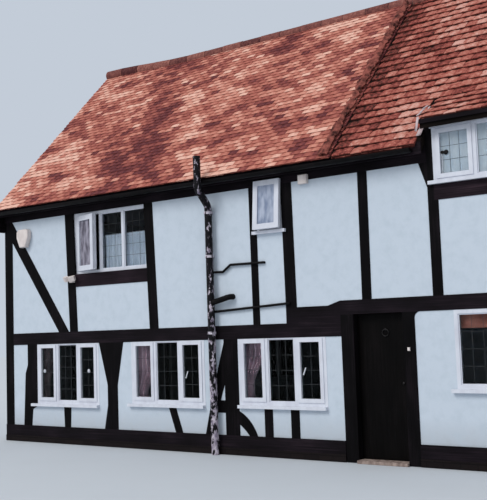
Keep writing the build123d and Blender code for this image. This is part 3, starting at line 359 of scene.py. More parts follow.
def brick_finish(name, first, second, joint, width, height, turn, roughness, depth):
    material, tree, shader, place = new_finish(name, Roughness=roughness, Specular_IOR_Level=0.1)
    faced = add(tree, "Mapping", {"Vector": place, "Rotation": turn}).outputs["Vector"]
    bricks = add(tree, "TexBrick", {"Vector": faced, "Color1": srgb(first), "Color2": srgb(second),
                                    "Mortar": srgb(joint), "Scale": 1.0, "Mortar Size": 0.005,
                                    "Brick Width": width, "Row Height": height})
    rough = add(tree, "TexNoise", {"Vector": place, "Scale": 60.0, "Detail": 4.0}).outputs["Fac"]
    worn = add(tree, "MapRange", {"Value": rough, "To Min": 0.75, "To Max": 1.15}).outputs["Result"]
    colour = add(tree, "VectorMath", {0: bricks.outputs["Color"], "Scale": worn}, operation="SCALE")
    set_input(tree, shader, "Base Color", colour.outputs["Vector"])
    deep = add(tree, "Bump", {"Height": bricks.outputs["Fac"], "Strength": 0.8, "Distance": -depth})
    grit = add(tree, "Bump", {"Height": rough, "Strength": 0.4, "Distance": 0.002,
                              "Normal": deep.outputs["Normal"]})
    set_input(tree, shader, "Normal", grit.outputs["Normal"])
    return material


FACING_FRONT = (math.radians(-90), 0, 0)
FACING_SIDE = (math.radians(-90), 0, math.radians(90))
LYING = (0, 0, 0)
PLINTH_BRICK = ("#161112", "#1d1717", "#0f0b0c", 0.225, 0.075)
plinth_front = brick_finish("black_painted_brick", *PLINTH_BRICK, FACING_FRONT, 0.8, 0.004)
plinth_side = brick_finish("black_painted_brick_side", *PLINTH_BRICK, FACING_SIDE, 0.8, 0.004)
brick_floor = brick_finish("brick_paving", "#8a4f3c", "#74402f", "#8d857b", 0.225, 0.1125,
                           LYING, 0.85, 0.003)
board_floor = brick_finish("wide_oak_boards", "#7a5b40", "#6a4c34", "#2c2018", 2.4, 0.18,
                           LYING, 0.55, 0.002)
print("masonry and floor finishes made")

# %% [markdown]
# ** Clay tiles.** Hand-made plain tiles are burnt orange-red where they are new and purple-brown
# where smoke and lichen have got at them. No two are the same colour, and the weathering comes in
# drifts that run slantwise over the roof. Each tile will carry a number called tone, from 0 for
# the darkest to 1 for the palest, a number called butt that marks its thin lower end, which the
# finish darkens as painted shade and dirt, and a third number for painted shade, high on the
# middle of the tile and low at its sides, towards its head and on its underside. The finish turns
# them into colour and adds the sanded face of the clay.

# %% Clay finishes


def clay_finish(name, stops, butt_shade_and_dirt, mottle, shade_depth):
    material, tree, shader, place = new_finish(name, Roughness=0.9, Specular_IOR_Level=0.12)
    tone = add(tree, "Attribute", attribute_name="tone").outputs["Fac"]
    fleck = add(tree, "TexNoise", {"Vector": place, "Scale": 22.0, "Detail": 5.0,
                                   "Roughness": 0.7}).outputs["Fac"]
    spread = add(tree, "MapRange", {"Value": fleck, "From Min": 0.3, "From Max": 0.7,
                                    "To Min": -mottle, "To Max": mottle}).outputs["Result"]
    mottled = add(tree, "Math", {0: tone, 1: spread}, operation="ADD").outputs["Value"]
    # Painted shade on each tile: lighter in its middle, darker at its sides, towards its head and
    # underneath.
    painted_tile_shade = add(tree, "Attribute", attribute_name="painted_tile_shade").outputs["Fac"]
    clean_and_lit = add(tree, "MapRange", {"Value": painted_tile_shade, "To Min": -shade_depth,
                                   "To Max": shade_depth}).outputs["Result"]
    whole = add(tree, "Math", {0: mottled, 1: clean_and_lit}, operation="ADD").outputs["Value"]
    face = add(tree, "ValToRGB", {"Fac": whole}, stops).outputs["Color"]
    # The thin lower end of each tile takes a dark colour, as painted shade and dirt.
    butt = add(tree, "Attribute", attribute_name="butt").outputs["Fac"]
    colour = add(tree, "Mix", {0: butt, 6: face, 7: srgb(butt_shade_and_dirt)}, data_type="RGBA").outputs[2]
    set_input(tree, shader, "Base Color", colour)
    sanded = add(tree, "Bump", {"Height": fleck, "Strength": 0.5, "Distance": 0.003})
    set_input(tree, shader, "Normal", sanded.outputs["Normal"])
    return material


red_clay = clay_finish("hand_made_clay", [
    (0.0, "#5d2f33"), (0.25, "#8a4a45"), (0.5, "#ac6659"), (0.75, "#ca8a79"), (1.0, "#e2b4a3")],
    "#7c3f36", 0.16, 0.12)
old_clay = clay_finish("weathered_clay", [
    (0.0, "#43251f"), (0.25, "#84403a"), (0.5, "#a45d51"), (0.75, "#bb7d6f"), (1.0, "#d0a195")],
    "#4a2521", 0.36, 0.12)
ridge_clay = clay_finish("ridge_clay", [
    (0.0, "#4d2a2c"), (0.5, "#84534c"), (1.0, "#b98374")], "#4a2a28", 0.3, 0.0)
mortar = smooth_finish("lime_mortar", "#8f8580", "#6d6461", 0.95, 20.0)
boards = painted_oak("roof_boards", 0, ("#0c0908", "#15100e", "#221a17"), 0.85)
print("clay finishes made")

# %% [markdown]
# Now each node of the frame gets its finish. A table of finish to nodes says it all in one place,
# and a loop hands the finishes out and reports any node that was forgotten.

# %% Dress the frame's own nodes
dressing = {
    oak_upright: ["corner_posts", "jowled_posts", "ground_posts", "ground_studs", "upper_studs",
                  "curved_braces", "diagonal_brace", "dormer_posts", "gable_studs", "back_studs"],
    oak_across: ["sill_beams", "girding_rail_left", "girding_rail_right", "wall_plates",
                 "dormer_head", "back_rail", "fascias"],
    oak_worn: ["window_rails"],
    oak_along: ["gable_rails", "bargeboards"],
    bare_oak: ["tie_beams"],
    render_white: ["ground_infill", "rendered_wall", "upper_infill", "gable_infill", "back_infill"],
    render_party: ["party_wall"],
    white_plastic: ["front_window_frames", "back_window_frames", "open_sashes", "window_sills",
                    "window_head_board"],
    cream_plastic: ["wall_boxes", "security_light"],
    black_plastic: ["gutters", "waste_pipes"],
    clear_glass: ["window_glass"],
    red_clay: ["roof_front_left", "roof_back"],
    old_clay: ["roof_front_right", "dormer_roof"],
    ridge_clay: ["ridge_tiles"],
    plinth_front: ["plinth"],
    plinth_side: ["plinth_gable"],
    brick_floor: ["ground_floor"],
    board_floor: ["upper_floor"],
    door_paint: ["front_door"],
    steel: ["door_furniture"],
    black_iron: ["door_hinges", "frame_hinges"],
    stone: ["threshold"],
    peeling_iron: ["soil_pipe"],
    bare_iron: ["pipe_brackets"],
    lead: ["dormer_flashing"],
}
dressed = set()
for finish, names in dressing.items():
    for name in names:
        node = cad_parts[name]
        if not node.material_slots:
            node.data.materials.append(finish)
        for slot in node.material_slots:
            slot.material = finish
        dressed.add(name)
print("nodes without a finish:", sorted(set(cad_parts) - dressed))

# %% [markdown]
# New pieces all end the same way: the working mesh becomes an object at the origin, takes its
# finishes, rides on the house, and hides the nodes it stands for.

# %% Finish off a new piece


def new_piece(name, mesh_work, finishes, stands_for=(), smooth=0):
    """Turns a working mesh into an object that rides on the house."""
    mesh = bpy.data.meshes.new(name)
    mesh_work.to_mesh(mesh)
    mesh_work.free()
    for finish in finishes:
        mesh.materials.append(finish)
    if smooth:
        mesh.shade_smooth()
        mesh.set_sharp_from_angle(angle=math.radians(smooth))
    piece = in_scene(name, mesh)
    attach(piece, "house")
    if stands_for:
        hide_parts(*stands_for)
    mesh.calc_loop_triangles()
    print(name, "triangles", len(mesh.loop_triangles))
    return piece


# %% [markdown]
# Five small helpers save words later. One lists things once each, in a steady order, so that the
# result is the same every time. One picks vertices, edges or faces out of an operator's result.
# One gives a skin its thickness and points its faces outwards. One rounds edges, as wear and paint
# do. The last makes a block of three sizes at a place, for bars and plates that are then rounded
# or cut.

# %% Helpers for shapes


def once(things):
    return list(dict.fromkeys(things))


def only(kind, geometry):
    return [part for part in geometry if isinstance(part, kind)]


def thicken(mesh_work, thickness):
    bmesh.ops.solidify(mesh_work, geom=list(mesh_work.faces), thickness=thickness)
    bmesh.ops.recalc_face_normals(mesh_work, faces=mesh_work.faces)


def soften(mesh_work, edges, radius, segments=2):
    bmesh.ops.bevel(mesh_work, geom=edges, offset=radius, affect="EDGES", segments=segments,
                    profile=0.5, material=-1)


def block(mesh_work, place, size):
    shape = place @ Matrix.Diagonal((*size, 1))
    return bmesh.ops.create_cube(mesh_work, size=1, matrix=shape)["verts"]


print("helpers for shapes ready")

# %% [markdown]
# **One plain tile.** A plain tile is 165 mm wide and 12 mm thick, and slightly domed so that it
# sheds water. Two squares side by side with their shared edge lifted by 4 mm make the dome,
# solidify gives the clay its thickness, and a small bevel wears its tail round. Fourteen faces are
# plenty for a thing that is laid five thousand times.

# %% Make one plain tile
TILE_WIDTH = 0.165
TILE_GAP = 0.003
TILE_DOME = 0.004


def plain_tile(mesh_work, length, thickness):
    """One tile with its tail at the origin, its head up the y axis and its top under z = 0."""
    made = bmesh.ops.create_grid(mesh_work, x_segments=2, y_segments=1, size=0.5)["verts"]
    bmesh.ops.scale(mesh_work, vec=(TILE_WIDTH - TILE_GAP, length, 1), verts=made)
    bmesh.ops.translate(mesh_work, vec=(TILE_WIDTH / 2, length / 2, -TILE_DOME), verts=made)
    ridge_line = [v for v in made if abs(v.co.x - TILE_WIDTH / 2) < 0.001]
    bmesh.ops.translate(mesh_work, vec=(0, 0, TILE_DOME), verts=ridge_line)
    thicken(mesh_work, thickness)
    tail = [e for e in mesh_work.edges if all(v.co.y < 0.001 and v.co.z > -0.006 for v in e.verts)]
    soften(mesh_work, tail, thickness * 0.4)
    # A painted shade for the clay finish: high in the middle of the tile's top, lower at its sides
    # and towards its head, low on its underside.
    painted_tile_shade = mesh_work.verts.layers.float.new("painted_tile_shade")
    for vert in mesh_work.verts:
        side = abs(vert.co.x - TILE_WIDTH / 2) / (TILE_WIDTH / 2)
        top = 1 if vert.co.z > -0.008 else 0.2
        vert[painted_tile_shade] = (1 - 0.7 * side) * (1 - 0.5 * vert.co.y / length) * top


trial = bmesh.new()
plain_tile(trial, 0.2, 0.012)
print("one tile:", len(trial.faces), "faces, from", round(min(v.co.z for v in trial.verts), 4),
      "to", round(max(v.co.z for v in trial.verts), 4))
trial.free()

# %% [markdown]
# **The tone of a tile.** Slow noise makes drifts and patches of weathering over the roof. A few
# darker stains lie on it, the broadest climbing the left of the roof, and its left foot is worn
# pale. On top of that each tile has its own chance, which is what keeps a tiled roof lively.

# %% How pale each tile is
ROOF_PITCH = math.radians(45.6)
EAVES_HEIGHT = 4.09
WORN_LIFT = 0.16
WORN_REACH = 2.6

# Each stain: metres from the left corner and up the slope, its two radii, its lean and its depth.
STAINS = [(2.38, 1.9, 0.5, 3.0, -0.09, 0.42), (4.55, 0.75, 0.3, 0.3, 0.0, 0.2),
          (4.5, 1.85, 0.4, 0.3, 0.0, 0.25)]


def ease(t):
    """Rises from 0 to 1 with a soft start and a soft end, and stays level outside them."""
    t = min(1, max(0, t))
    return t * t * (3 - 2 * t)


def tone_of(spot, drift, lift, luck):
    """How pale a tile is, from where it is, how strong drifts are, a lift for all, and luck."""
    along, up = spot.x + HOUSE_LENGTH / 2, (spot.z - EAVES_HEIGHT) / math.sin(ROOF_PITCH)
    slow = noise.noise(Vector((spot.x * 0.9 + up * 0.5, up * 0.5, 5.0)))
    patch = noise.noise(Vector((spot.x * 2.2, up * 3.0, 7.0)))
    worn = WORN_LIFT * ease((WORN_REACH - along - 0.3 * up) / WORN_REACH)
    for x, height, wide, tall, lean, depth in STAINS:
        off = ((along - x - lean * (up - height)) / wide) ** 2 + ((up - height) / tall) ** 2
        worn -= depth * math.exp(-off)
    return min(1, max(0, 0.5 + lift + worn + drift * (0.8 * slow + patch) + random.gauss(0, luck)))


print("darker stains on the roof:", len(STAINS))

# %% [markdown]
# **Laying a slope.** Tiles are laid in courses from the eaves up, each course covering the one
# below so that only the gauge shows, and each shifted by half a tile. One more course lies under
# the lowest. Because every tile rests on the tail of the one below, it lies a little flatter than
# the roof. Old roofs are never regular, so each tile is nudged by up to a centimetre or two and
# turned by a degree or so. A slope is described by where its foot is, how steep it is and how far
# it runs.

# %% Lay tiles on a slope
LAP = 1.55
HEAD_GAP = 0.004
NARROWEST = 0.12


def on_slope(foot, pitch, x=0):
    """Carries flat work onto a slope; foot is the (y, z) where the slope starts."""
    return Matrix.Translation(at(x, *foot)) @ Matrix.Rotation(pitch, 4, "X")


def lay_slope(mesh_work, x0, ends, foot, pitch, run, gauge, thickness, tones, jitter,
              dark_band=None):
    """Courses of tiles from x0 to the right end of each course, and how many were laid.

    ends lists (distance up the slope, right end), so that a course may stop short of another,
    tones is how strongly the tiles drift, how much paler they all are, and how far luck goes, and
    dark_band is the left and right end of a strip of darker tiles.
    """
    full = gauge * LAP
    pattern = bmesh.new()
    plain_tile(pattern, full, thickness)
    pattern.faces.layers.float.new("tone")
    # The thin lower end, which the clay finish darkens as painted shade and dirt.
    butt = pattern.faces.layers.float.new("butt")
    for face in pattern.faces:
        face[butt] = 1.0 if face.calc_center_median().y < 0.0005 else 0.0
    one_tile = bpy.data.meshes.new("one_tile")
    pattern.to_mesh(one_tile)
    pattern.free()
    lean = Matrix.Rotation(-math.atan2(thickness, gauge), 4, "X")
    onto = on_slope(foot, pitch)
    laid = 0
    for course in range(-1, int(run / gauge)):
        start = max(course, 0) * gauge
        length = min(full, run - start - HEAD_GAP)
        if length < gauge * 0.5:
            continue
        drop = thickness if course < 0 else 0.0
        x1 = [right_end for from_run, right_end in ends if start >= from_run][-1]
        row = bmesh.new()
        row.from_mesh(one_tile)
        tone = row.faces.layers.float["tone"]
        first_verts = list(row.verts)
        first = first_verts + list(row.faces)
        x = x0 - (TILE_WIDTH / 2 if course % 2 else 0)
        first_left = x0 + random.uniform(0, 2.5 * jitter)
        while x < x1 - 0.02:
            left, right = max(x, first_left), min(x + TILE_WIDTH, x1)
            share = (right - left) / TILE_WIDTH
            x += TILE_WIDTH
            if share < NARROWEST:
                continue
            shrink = Matrix.Diagonal((share, length / full, 1, 1))
            nudge = Matrix.Translation((left, start + random.uniform(0, jitter),
                                        -drop - random.uniform(0, jitter / 3)))
            twist = Matrix.Rotation(random.gauss(0, jitter), 4, "Z")
            copy = bmesh.ops.duplicate(row, geom=first)["geom"]
            verts = only(bmesh.types.BMVert, copy)
            bmesh.ops.transform(row, matrix=onto @ nudge @ twist @ lean @ shrink, verts=verts)
            value = tone_of(verts[0].co, *tones)
            # Tiles in the dark band are darkened at random.
            if dark_band and dark_band[0] < left < dark_band[1]:
                value *= random.uniform(0.1, 0.65)
            for face in only(bmesh.types.BMFace, copy):
                face[tone] = value
            laid += 1
        bmesh.ops.delete(row, geom=first_verts, context="VERTS")
        course_mesh = bpy.data.meshes.new("course")
        row.to_mesh(course_mesh)
        row.free()
        mesh_work.from_mesh(course_mesh)
        bpy.data.meshes.remove(course_mesh)
    bpy.data.meshes.remove(one_tile)
    return laid


print("a course of the house's length takes", math.ceil(HOUSE_LENGTH / TILE_WIDTH), "tiles")

# %% [markdown]
# Under the tiles lie boards and rafters. They close the roof where the tiles leave gaps and show
# as a dark edge at the eaves. A long box turned to the slope does it, divided so that it can sag,
# and cut off plumb at its foot and its head.

# %% The boarding under a slope
TILE_LAYER = 0.035
RAFTER_LAYER = 0.110
SPARE = 0.4
BOARD_CUTS = 15
BOARDS_FINISH = 1


def board_slope(mesh_work, x0, x1, foot, pitch, run):
    """A boarded deck below the tile layer, from its foot up the slope, cut plumb at both ends."""
    middle = Matrix.Translation(((x0 + x1) / 2, run / 2, -TILE_LAYER - RAFTER_LAYER / 2))
    before = set(mesh_work.faces)
    verts = block(mesh_work, on_slope(foot, pitch) @ middle, (x1 - x0, run + SPARE, RAFTER_LAYER))
    edges = once(e for v in verts for e in v.link_edges)
    long_edges = [e for e in edges if abs(e.verts[0].co.x - e.verts[1].co.x) > 0.5]
    bmesh.ops.subdivide_edges(mesh_work, edges=long_edges, cuts=BOARD_CUTS, use_grid_fill=True)
    fresh = [f for f in mesh_work.faces if f not in before]
    for end, outward in ((0, -1), (run, 1)):
        spot = at(0, foot[0] + end * math.cos(pitch), foot[1])
        geometry = once(g for f in fresh if f.is_valid for g in (f, *f.edges, *f.verts))
        cut = bmesh.ops.bisect_plane(mesh_work, geom=geometry, plane_co=spot,
                                     plane_no=(0, outward, 0), clear_outer=True)
        bmesh.ops.holes_fill(mesh_work, edges=only(bmesh.types.BMEdge, cut["geom_cut"]))
        fresh = [f for f in mesh_work.faces if f not in before]
    for face in fresh:
        face.material_index = BOARDS_FINISH


print("tiles and boards are", round(TILE_LAYER + RAFTER_LAYER, 3), "m thick")

# %% [markdown]
# **Sag.** The rafters have bent over four centuries. The slopes are highest at the two ends, where
# walls hold them, and about 50 mm lower between them. Every vertex of the tiles and boards is
# lowered by a share of that, nothing at the eaves and all of it at the top. The ridge has sunk
# further, so the amount can be given.

# %% Let the roof sag
RIDGE = (2.85, 7.225)
SAG = 0.05
SAG_STARTS_LEFT = 2.2
SAG_STARTS_RIGHT = 1.5


def settle(mesh_work, amount=SAG):
    for vert in mesh_work.verts:
        along = vert.co.x + HOUSE_LENGTH / 2
        up = min(1, max(0, (vert.co.z - EAVES_HEIGHT) / (RIDGE[1] - EAVES_HEIGHT)))
        vert.co.z -= (amount * up * ease(along / SAG_STARTS_LEFT)
                      * ease((HOUSE_LENGTH - along) / SAG_STARTS_RIGHT))


print("the sag in the middle is", SAG, "m")

# %% [markdown]
# ** The left of the front.** The redder tiles on the left are laid to a gauge of 100 mm. Their
# tails hang over the gutter, and the boards start 100 mm further in. Tiles, boards and sag always
# come together, so one function makes the whole piece and says how many tiles it took. The tiles
# beside the older part of the roof are made darker.

# %% Tile the left of the front
random.seed(45)
EAVES_FOOT = (-0.22, EAVES_HEIGHT)
RAFTER_FOOT = -0.12
PARTS_MEET = 6.9
slope_run = (RIDGE[0] - EAVES_FOOT[0]) / math.cos(ROOF_PITCH)
deck_foot = (RAFTER_FOOT, EAVES_FOOT[1] + (RAFTER_FOOT - EAVES_FOOT[0]) * math.tan(ROOF_PITCH))
deck_run = (RIDGE[0] - RAFTER_FOOT) / math.cos(ROOF_PITCH)
ON_MAIN_ROOF = {"foot": EAVES_FOOT, "pitch": ROOF_PITCH, "run": slope_run}
RED_TILES = {"gauge": 0.1, "thickness": 0.012, "jitter": 0.009}


def roof_piece(name, finish, slot, stands_for, decks, turn=None, **tiles):
    """Tiles over their boards, turned where that is asked, sagged and finished off."""
    work = bmesh.new()
    count = lay_slope(work, **tiles)
    for deck in decks:
        board_slope(work, *deck)
    if turn is not None:
        bmesh.ops.transform(work, matrix=turn, verts=work.verts)
    settle(work)
    new_piece(name, work, [finish, boards], stands_for=[stands_for])
    print(name, "took", count, "tiles")


roof_piece("front_tiles_left", red_clay, "clay_tiles", "roof_front_left",
           [(0, PARTS_MEET, deck_foot, ROOF_PITCH, deck_run)],
           x0=-0.076, ends=[(0, PARTS_MEET)], tones=(0.6, 0.02, 0.17),
           dark_band=(6.69, PARTS_MEET), **RED_TILES, **ON_MAIN_ROOF)

# %% [markdown]
# **The right of the front.** This part carries older, thicker tiles laid to a wider gauge, so its
# courses throw stronger shadows. Over the right-hand bedroom the eaves are lifted: the tiles sweep
# up on a flatter slope that starts higher and runs out into the main roof. The courses of the main
# roof stop at that slope until they are above it.

# %% Tile the older right-hand part and the lifted eaves
DORMER_LEFT = 8.21
FLASHING_LEFT = 8.15
DORMER_PITCH = math.radians(32)
DORMER_FOOT = (-0.16, 4.43)
DORMER_DECK_FOOT = (-0.135, 4.4456)
SLOPES_MEET = (0.543, 4.869)
TILES_END = HOUSE_LENGTH - 0.016
meet_run = (SLOPES_MEET[0] - EAVES_FOOT[0]) / math.cos(ROOF_PITCH)
upper_deck_run = (RIDGE[0] - SLOPES_MEET[0]) / math.cos(ROOF_PITCH)
roof_piece("front_tiles_right", old_clay, "old_clay_tiles", "roof_front_right",
           [(PARTS_MEET, DORMER_LEFT, deck_foot, ROOF_PITCH, deck_run),
            (DORMER_LEFT, HOUSE_LENGTH, SLOPES_MEET, ROOF_PITCH, upper_deck_run)],
           x0=PARTS_MEET, ends=[(0, FLASHING_LEFT), (meet_run - 0.06, TILES_END)], gauge=0.172,
           thickness=0.031, tones=(0.42, 0.02, 0.13), jitter=0.019, dark_band=(6.8, 7.1),
           **ON_MAIN_ROOF)

dormer_run = (SLOPES_MEET[0] - DORMER_FOOT[0]) / math.cos(DORMER_PITCH)
dormer_deck_run = (SLOPES_MEET[0] - DORMER_DECK_FOOT[0]) / math.cos(DORMER_PITCH)
roof_piece("dormer_tiles", old_clay, "old_clay_tiles", "dormer_roof",
           [(DORMER_LEFT, HOUSE_LENGTH, DORMER_DECK_FOOT, DORMER_PITCH, dormer_deck_run)],
           x0=DORMER_LEFT, ends=[(0, TILES_END)], foot=DORMER_FOOT, pitch=DORMER_PITCH,
           run=dormer_run + 0.02, gauge=0.19, thickness=0.031, tones=(0.42, 0.02, 0.12),
           jitter=0.017)

# %% [markdown]
# **Fillet between the two roofs.** Where the red tiles stop against the older ones a strip of
# mortar, brown with moss, runs from the eaves to the ridge. It is a grid laid on the slope. Its
# middle row stands proud and its edges sink among the tiles. Its width wanders, and every vertex
# is pushed a little out of line, because the mortar was put on by hand.

# %% Mossy fillet
FILLET_MIDDLE = 6.81
FILLET_WIDTH = 0.17
FILLET_FOOT = 0.03
moss = smooth_finish("mossy_mortar", "#95564d", "#341f1e", 0.95, 11.0, gloss=0.05)
fillet = bmesh.new()
fillet_run = slope_run - 0.12
bmesh.ops.create_grid(fillet, x_segments=4, y_segments=90, size=0.5)
bmesh.ops.scale(fillet, vec=(FILLET_WIDTH, fillet_run, 1), verts=fillet.verts)
for vert in fillet.verts:
    middle = 1 - min(1, abs(vert.co.x) / (FILLET_WIDTH / 2))
    vert.co.x *= 0.8 + 0.8 * noise.noise(Vector((vert.co.y * 2.1, 0.0, 3.0)))
    vert.co += Vector((random.uniform(-0.022, 0.022), random.uniform(-0.01, 0.01),
                       0.03 + 0.028 * middle + random.uniform(-0.009, 0.009)))
bmesh.ops.transform(fillet, verts=fillet.verts,
                    matrix=on_slope(EAVES_FOOT, ROOF_PITCH, FILLET_MIDDLE)
                    @ Matrix.Translation((0, FILLET_FOOT + fillet_run / 2, 0)))
thicken(fillet, 0.02)
settle(fillet)
new_piece("roof_fillet", fillet, [moss], smooth=50)

# %% [markdown]
# **Stepped lead.** At the left foot of the lifted eaves the tiles are sealed with short pieces of
# pale lead: one stands on the lower tiles against the cheek, and the others lap over one another
# up the edge. Each is a thin plate with rounded edges, tipped up a little at its lower end.

# %% Stepped lead beside the lifted eaves
LEAD_STEP = 0.12
STEP_PLATE = (0.034, LEAD_STEP * 1.15, 0.007)
CHEEK_PLATE = (0.032, 0.007, 0.19)
steps = bmesh.new()
for index in range(3):
    spot = Matrix.Translation((DORMER_LEFT - 0.012, 0.02 + (index + 0.5) * LEAD_STEP, 0.012))
    block(steps, on_slope(DORMER_FOOT, DORMER_PITCH) @ spot
          @ Matrix.Rotation(math.radians(-4), 4, "X")
          @ Matrix.Rotation(math.radians(random.uniform(-7, 7)), 4, "Z"), STEP_PLATE)
block(steps, Matrix.Translation(at(DORMER_LEFT - 0.022, -0.17, 4.335))
      @ Matrix.Rotation(math.radians(12), 4, "Y"), CHEEK_PLATE)
soften(steps, list(steps.edges), 0.002)
settle(steps)
new_piece("stepped_lead", steps, [lead], smooth=40)

# %% [markdown]
# **The back.** The back slope is tiled like the left of the front from end to end. So it is laid
# at the front, where its numbers are known, and turned half round about the middle of the plan.

# %% Tile the back
HALF_ROUND_THE_PLAN = Matrix.Rotation(math.pi, 4, "Z")
roof_piece("back_tiles", red_clay, "clay_tiles", "roof_back",
           [(0, HOUSE_LENGTH, deck_foot, ROOF_PITCH, deck_run)], turn=HALF_ROUND_THE_PLAN,
           x0=0.004, ends=[(0, HOUSE_LENGTH + 0.074)], tones=(0.6, 0.0, 0.17), **RED_TILES,
           **ON_MAIN_ROOF)

# %% [markdown]
# **Ridge.** Round-backed ridge tiles about 430 mm long are bedded in mortar along the top. At the
# gable they stand proud, and along the middle they have sunk 105 mm, so that only their backs show
# over the slopes. Each is a short line spun round well past a half turn, so that its sides reach
# the tiles, and given the clay's thickness. A slimmer round underneath is the mortar between them.

# %% Ridge tiles
RIDGE_RADIUS = 0.118
RIDGE_CENTRE = 7.195
RIDGE_REACH = math.radians(35)
RIDGE_SAG = 0.105
RIDGE_TILE = 0.436
RIDGE_LEFT = -0.05
RIDGE_JOINT = 0.005
MORTAR_RADIUS = 0.104


def half_round(mesh_work, x0, x1, radius, thickness, material_index, centre_drop=0.0):
    """Well over half a pipe along the ridge from x0 to x1."""
    before = set(mesh_work.faces)
    centre = at(x0, RIDGE[0], RIDGE_CENTRE - centre_drop)
    lengths = max(1, round((x1 - x0) / 0.45))
    side, drop = radius * math.cos(RIDGE_REACH), radius * math.sin(RIDGE_REACH)
    points = [mesh_work.verts.new(centre + Vector(((x1 - x0) * i / lengths, -side, -drop)))
              for i in range(lengths + 1)]
    lines = [mesh_work.edges.new(pair) for pair in zip(points, points[1:])]
    bmesh.ops.spin(mesh_work, geom=points + lines, cent=centre, axis=(1, 0, 0),
                   angle=-math.pi - 2 * RIDGE_REACH, steps=16)
    fresh = [f for f in mesh_work.faces if f not in before]
    bmesh.ops.recalc_face_normals(mesh_work, faces=fresh)
    bmesh.ops.solidify(mesh_work, geom=fresh, thickness=thickness)
    fresh = [f for f in mesh_work.faces if f not in before]
    bmesh.ops.recalc_face_normals(mesh_work, faces=fresh)
    for face in fresh:
        face.material_index = material_index
    return fresh


ridge = bmesh.new()
ridge_tone = ridge.faces.layers.float.new("tone")
ridge_length = HOUSE_LENGTH - RIDGE_LEFT
ridge_count = round(ridge_length / RIDGE_TILE)
for index in range(ridge_count):
    left = RIDGE_LEFT + ridge_length * index / ridge_count
    radius = RIDGE_RADIUS - random.uniform(0, 0.005)
    shell = half_round(ridge, left + RIDGE_JOINT, left + ridge_length / ridge_count - RIDGE_JOINT,
                       radius, 0.014, 0, random.uniform(0, 0.004))
    value = random.uniform(0.0, 0.55)
    for face in shell:
        face[ridge_tone] = value
half_round(ridge, RIDGE_LEFT + 0.008, HOUSE_LENGTH - 0.008, MORTAR_RADIUS, 0.03, 1)
settle(ridge, RIDGE_SAG)
new_piece("ridge", ridge, [ridge_clay, mortar], stands_for=["ridge_tiles"], smooth=40)
print("ridge tiles:", ridge_count)

# %% [markdown]
# **Panes.** The leads, the glass and the beads all depend on where the panes are. They are read
# from the frame: a merged copy of the glass falls apart into separate sheets, and each gives its
# own box. A sheet is followed from vertex to vertex along its edges until nothing more joins on.

# %% Find the panes
FRONT_ZONE = 0.2
SHEET = 0.03


def merged_copy(name):
    """A working copy of a node's mesh, with its loose triangles joined."""
    copy = bmesh.new()
    copy.from_mesh(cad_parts[name].data)
    bmesh.ops.remove_doubles(copy, verts=copy.verts, dist=1e-5)
    return copy


def islands(name):
    """The lowest and highest corners of each separate solid in a node."""
    copy = merged_copy(name)
    found, seen = [], set()
    for vert in copy.verts:
        if vert in seen:
            continue
        stack, group = [vert], []
        seen.add(vert)
        while stack:
            spot = stack.pop()
            group.append(spot.co.copy())
            for edge in spot.link_edges:
                other = edge.other_vert(spot)
                if other not in seen:
                    seen.add(other)
                    stack.append(other)
        low = Vector(min(p[i] for p in group) for i in range(3))
        high = Vector(max(p[i] for p in group) for i in range(3))
        found.append((low, high))
    copy.free()
    return found


panes = islands("window_glass")
front_panes = [(low, high) for low, high in panes
               if high.y < FRONT_ZONE - HOUSE_DEPTH / 2 and high.y - low.y < SHEET]
back_panes = [(low, high) for low, high in panes if low.y > 0]
print("panes:", len(panes), "of which square to the front:", len(front_panes),
      "back:", len(back_panes))

# %% [markdown]
# The glass itself stays where the frame has it. A merged copy of its mesh lets each pane take the
# kind of glass that its window has, by where the pane is. The two ground-floor lights with a
# bright curtain close behind them keep the clear glass, and so does the right-hand window with its
# blind.

# %% Glaze the windows
# Each zone: its left and right end, the height it starts at, and its glass. The first that fits
# a pane is the one that counts.
WINDOW_ZONES = [
    (5.45, 6.0, 3.0, obscured_glass), (1.8, 2.3, 2.9, shaded_glass), (8.3, 10.1, 3.4, sky_reflection_glass),
    (1.8, 10.2, 2.6, clear_glass), (8.3, 10.2, 0.9, clear_glass), (3.1, 3.5, 0.0, clear_glass),
    (5.2, 5.6, 0.0, clear_glass), (0.0, 8.0, 0.0, deep_glass)]


def glass_at(spot):
    """The kind of glass at a spot on a pane."""
    if spot.y >= 0:
        return dim_glass
    along = spot.x + HOUSE_LENGTH / 2
    return next(glass for x0, x1, low, glass in WINDOW_ZONES if x0 < along < x1 and spot.z > low)


glazing = merged_copy("window_glass")
bmesh.ops.recalc_face_normals(glazing, faces=glazing.faces)
for face in glazing.faces:
    face.material_index = glasses.index(glass_at(face.calc_center_median()))
sash_pane = [f for f in glazing.faces
             if f.normal.y < -0.9 and f.material_index == glasses.index(obscured_glass)]
sash_corners = [vert.co.copy() for vert in once(v for f in sash_pane for v in f.verts)]
sash_outward = sash_pane[0].normal.copy()
new_piece("glazing", glazing, glasses, stands_for=["window_glass"])

# %% [markdown]
# The small sash of the bathroom has a wide bead round its glass. It is a sheet the size of the
# pane, inset by the width of the bead, with its middle taken out and the rest given a few
# millimetres.

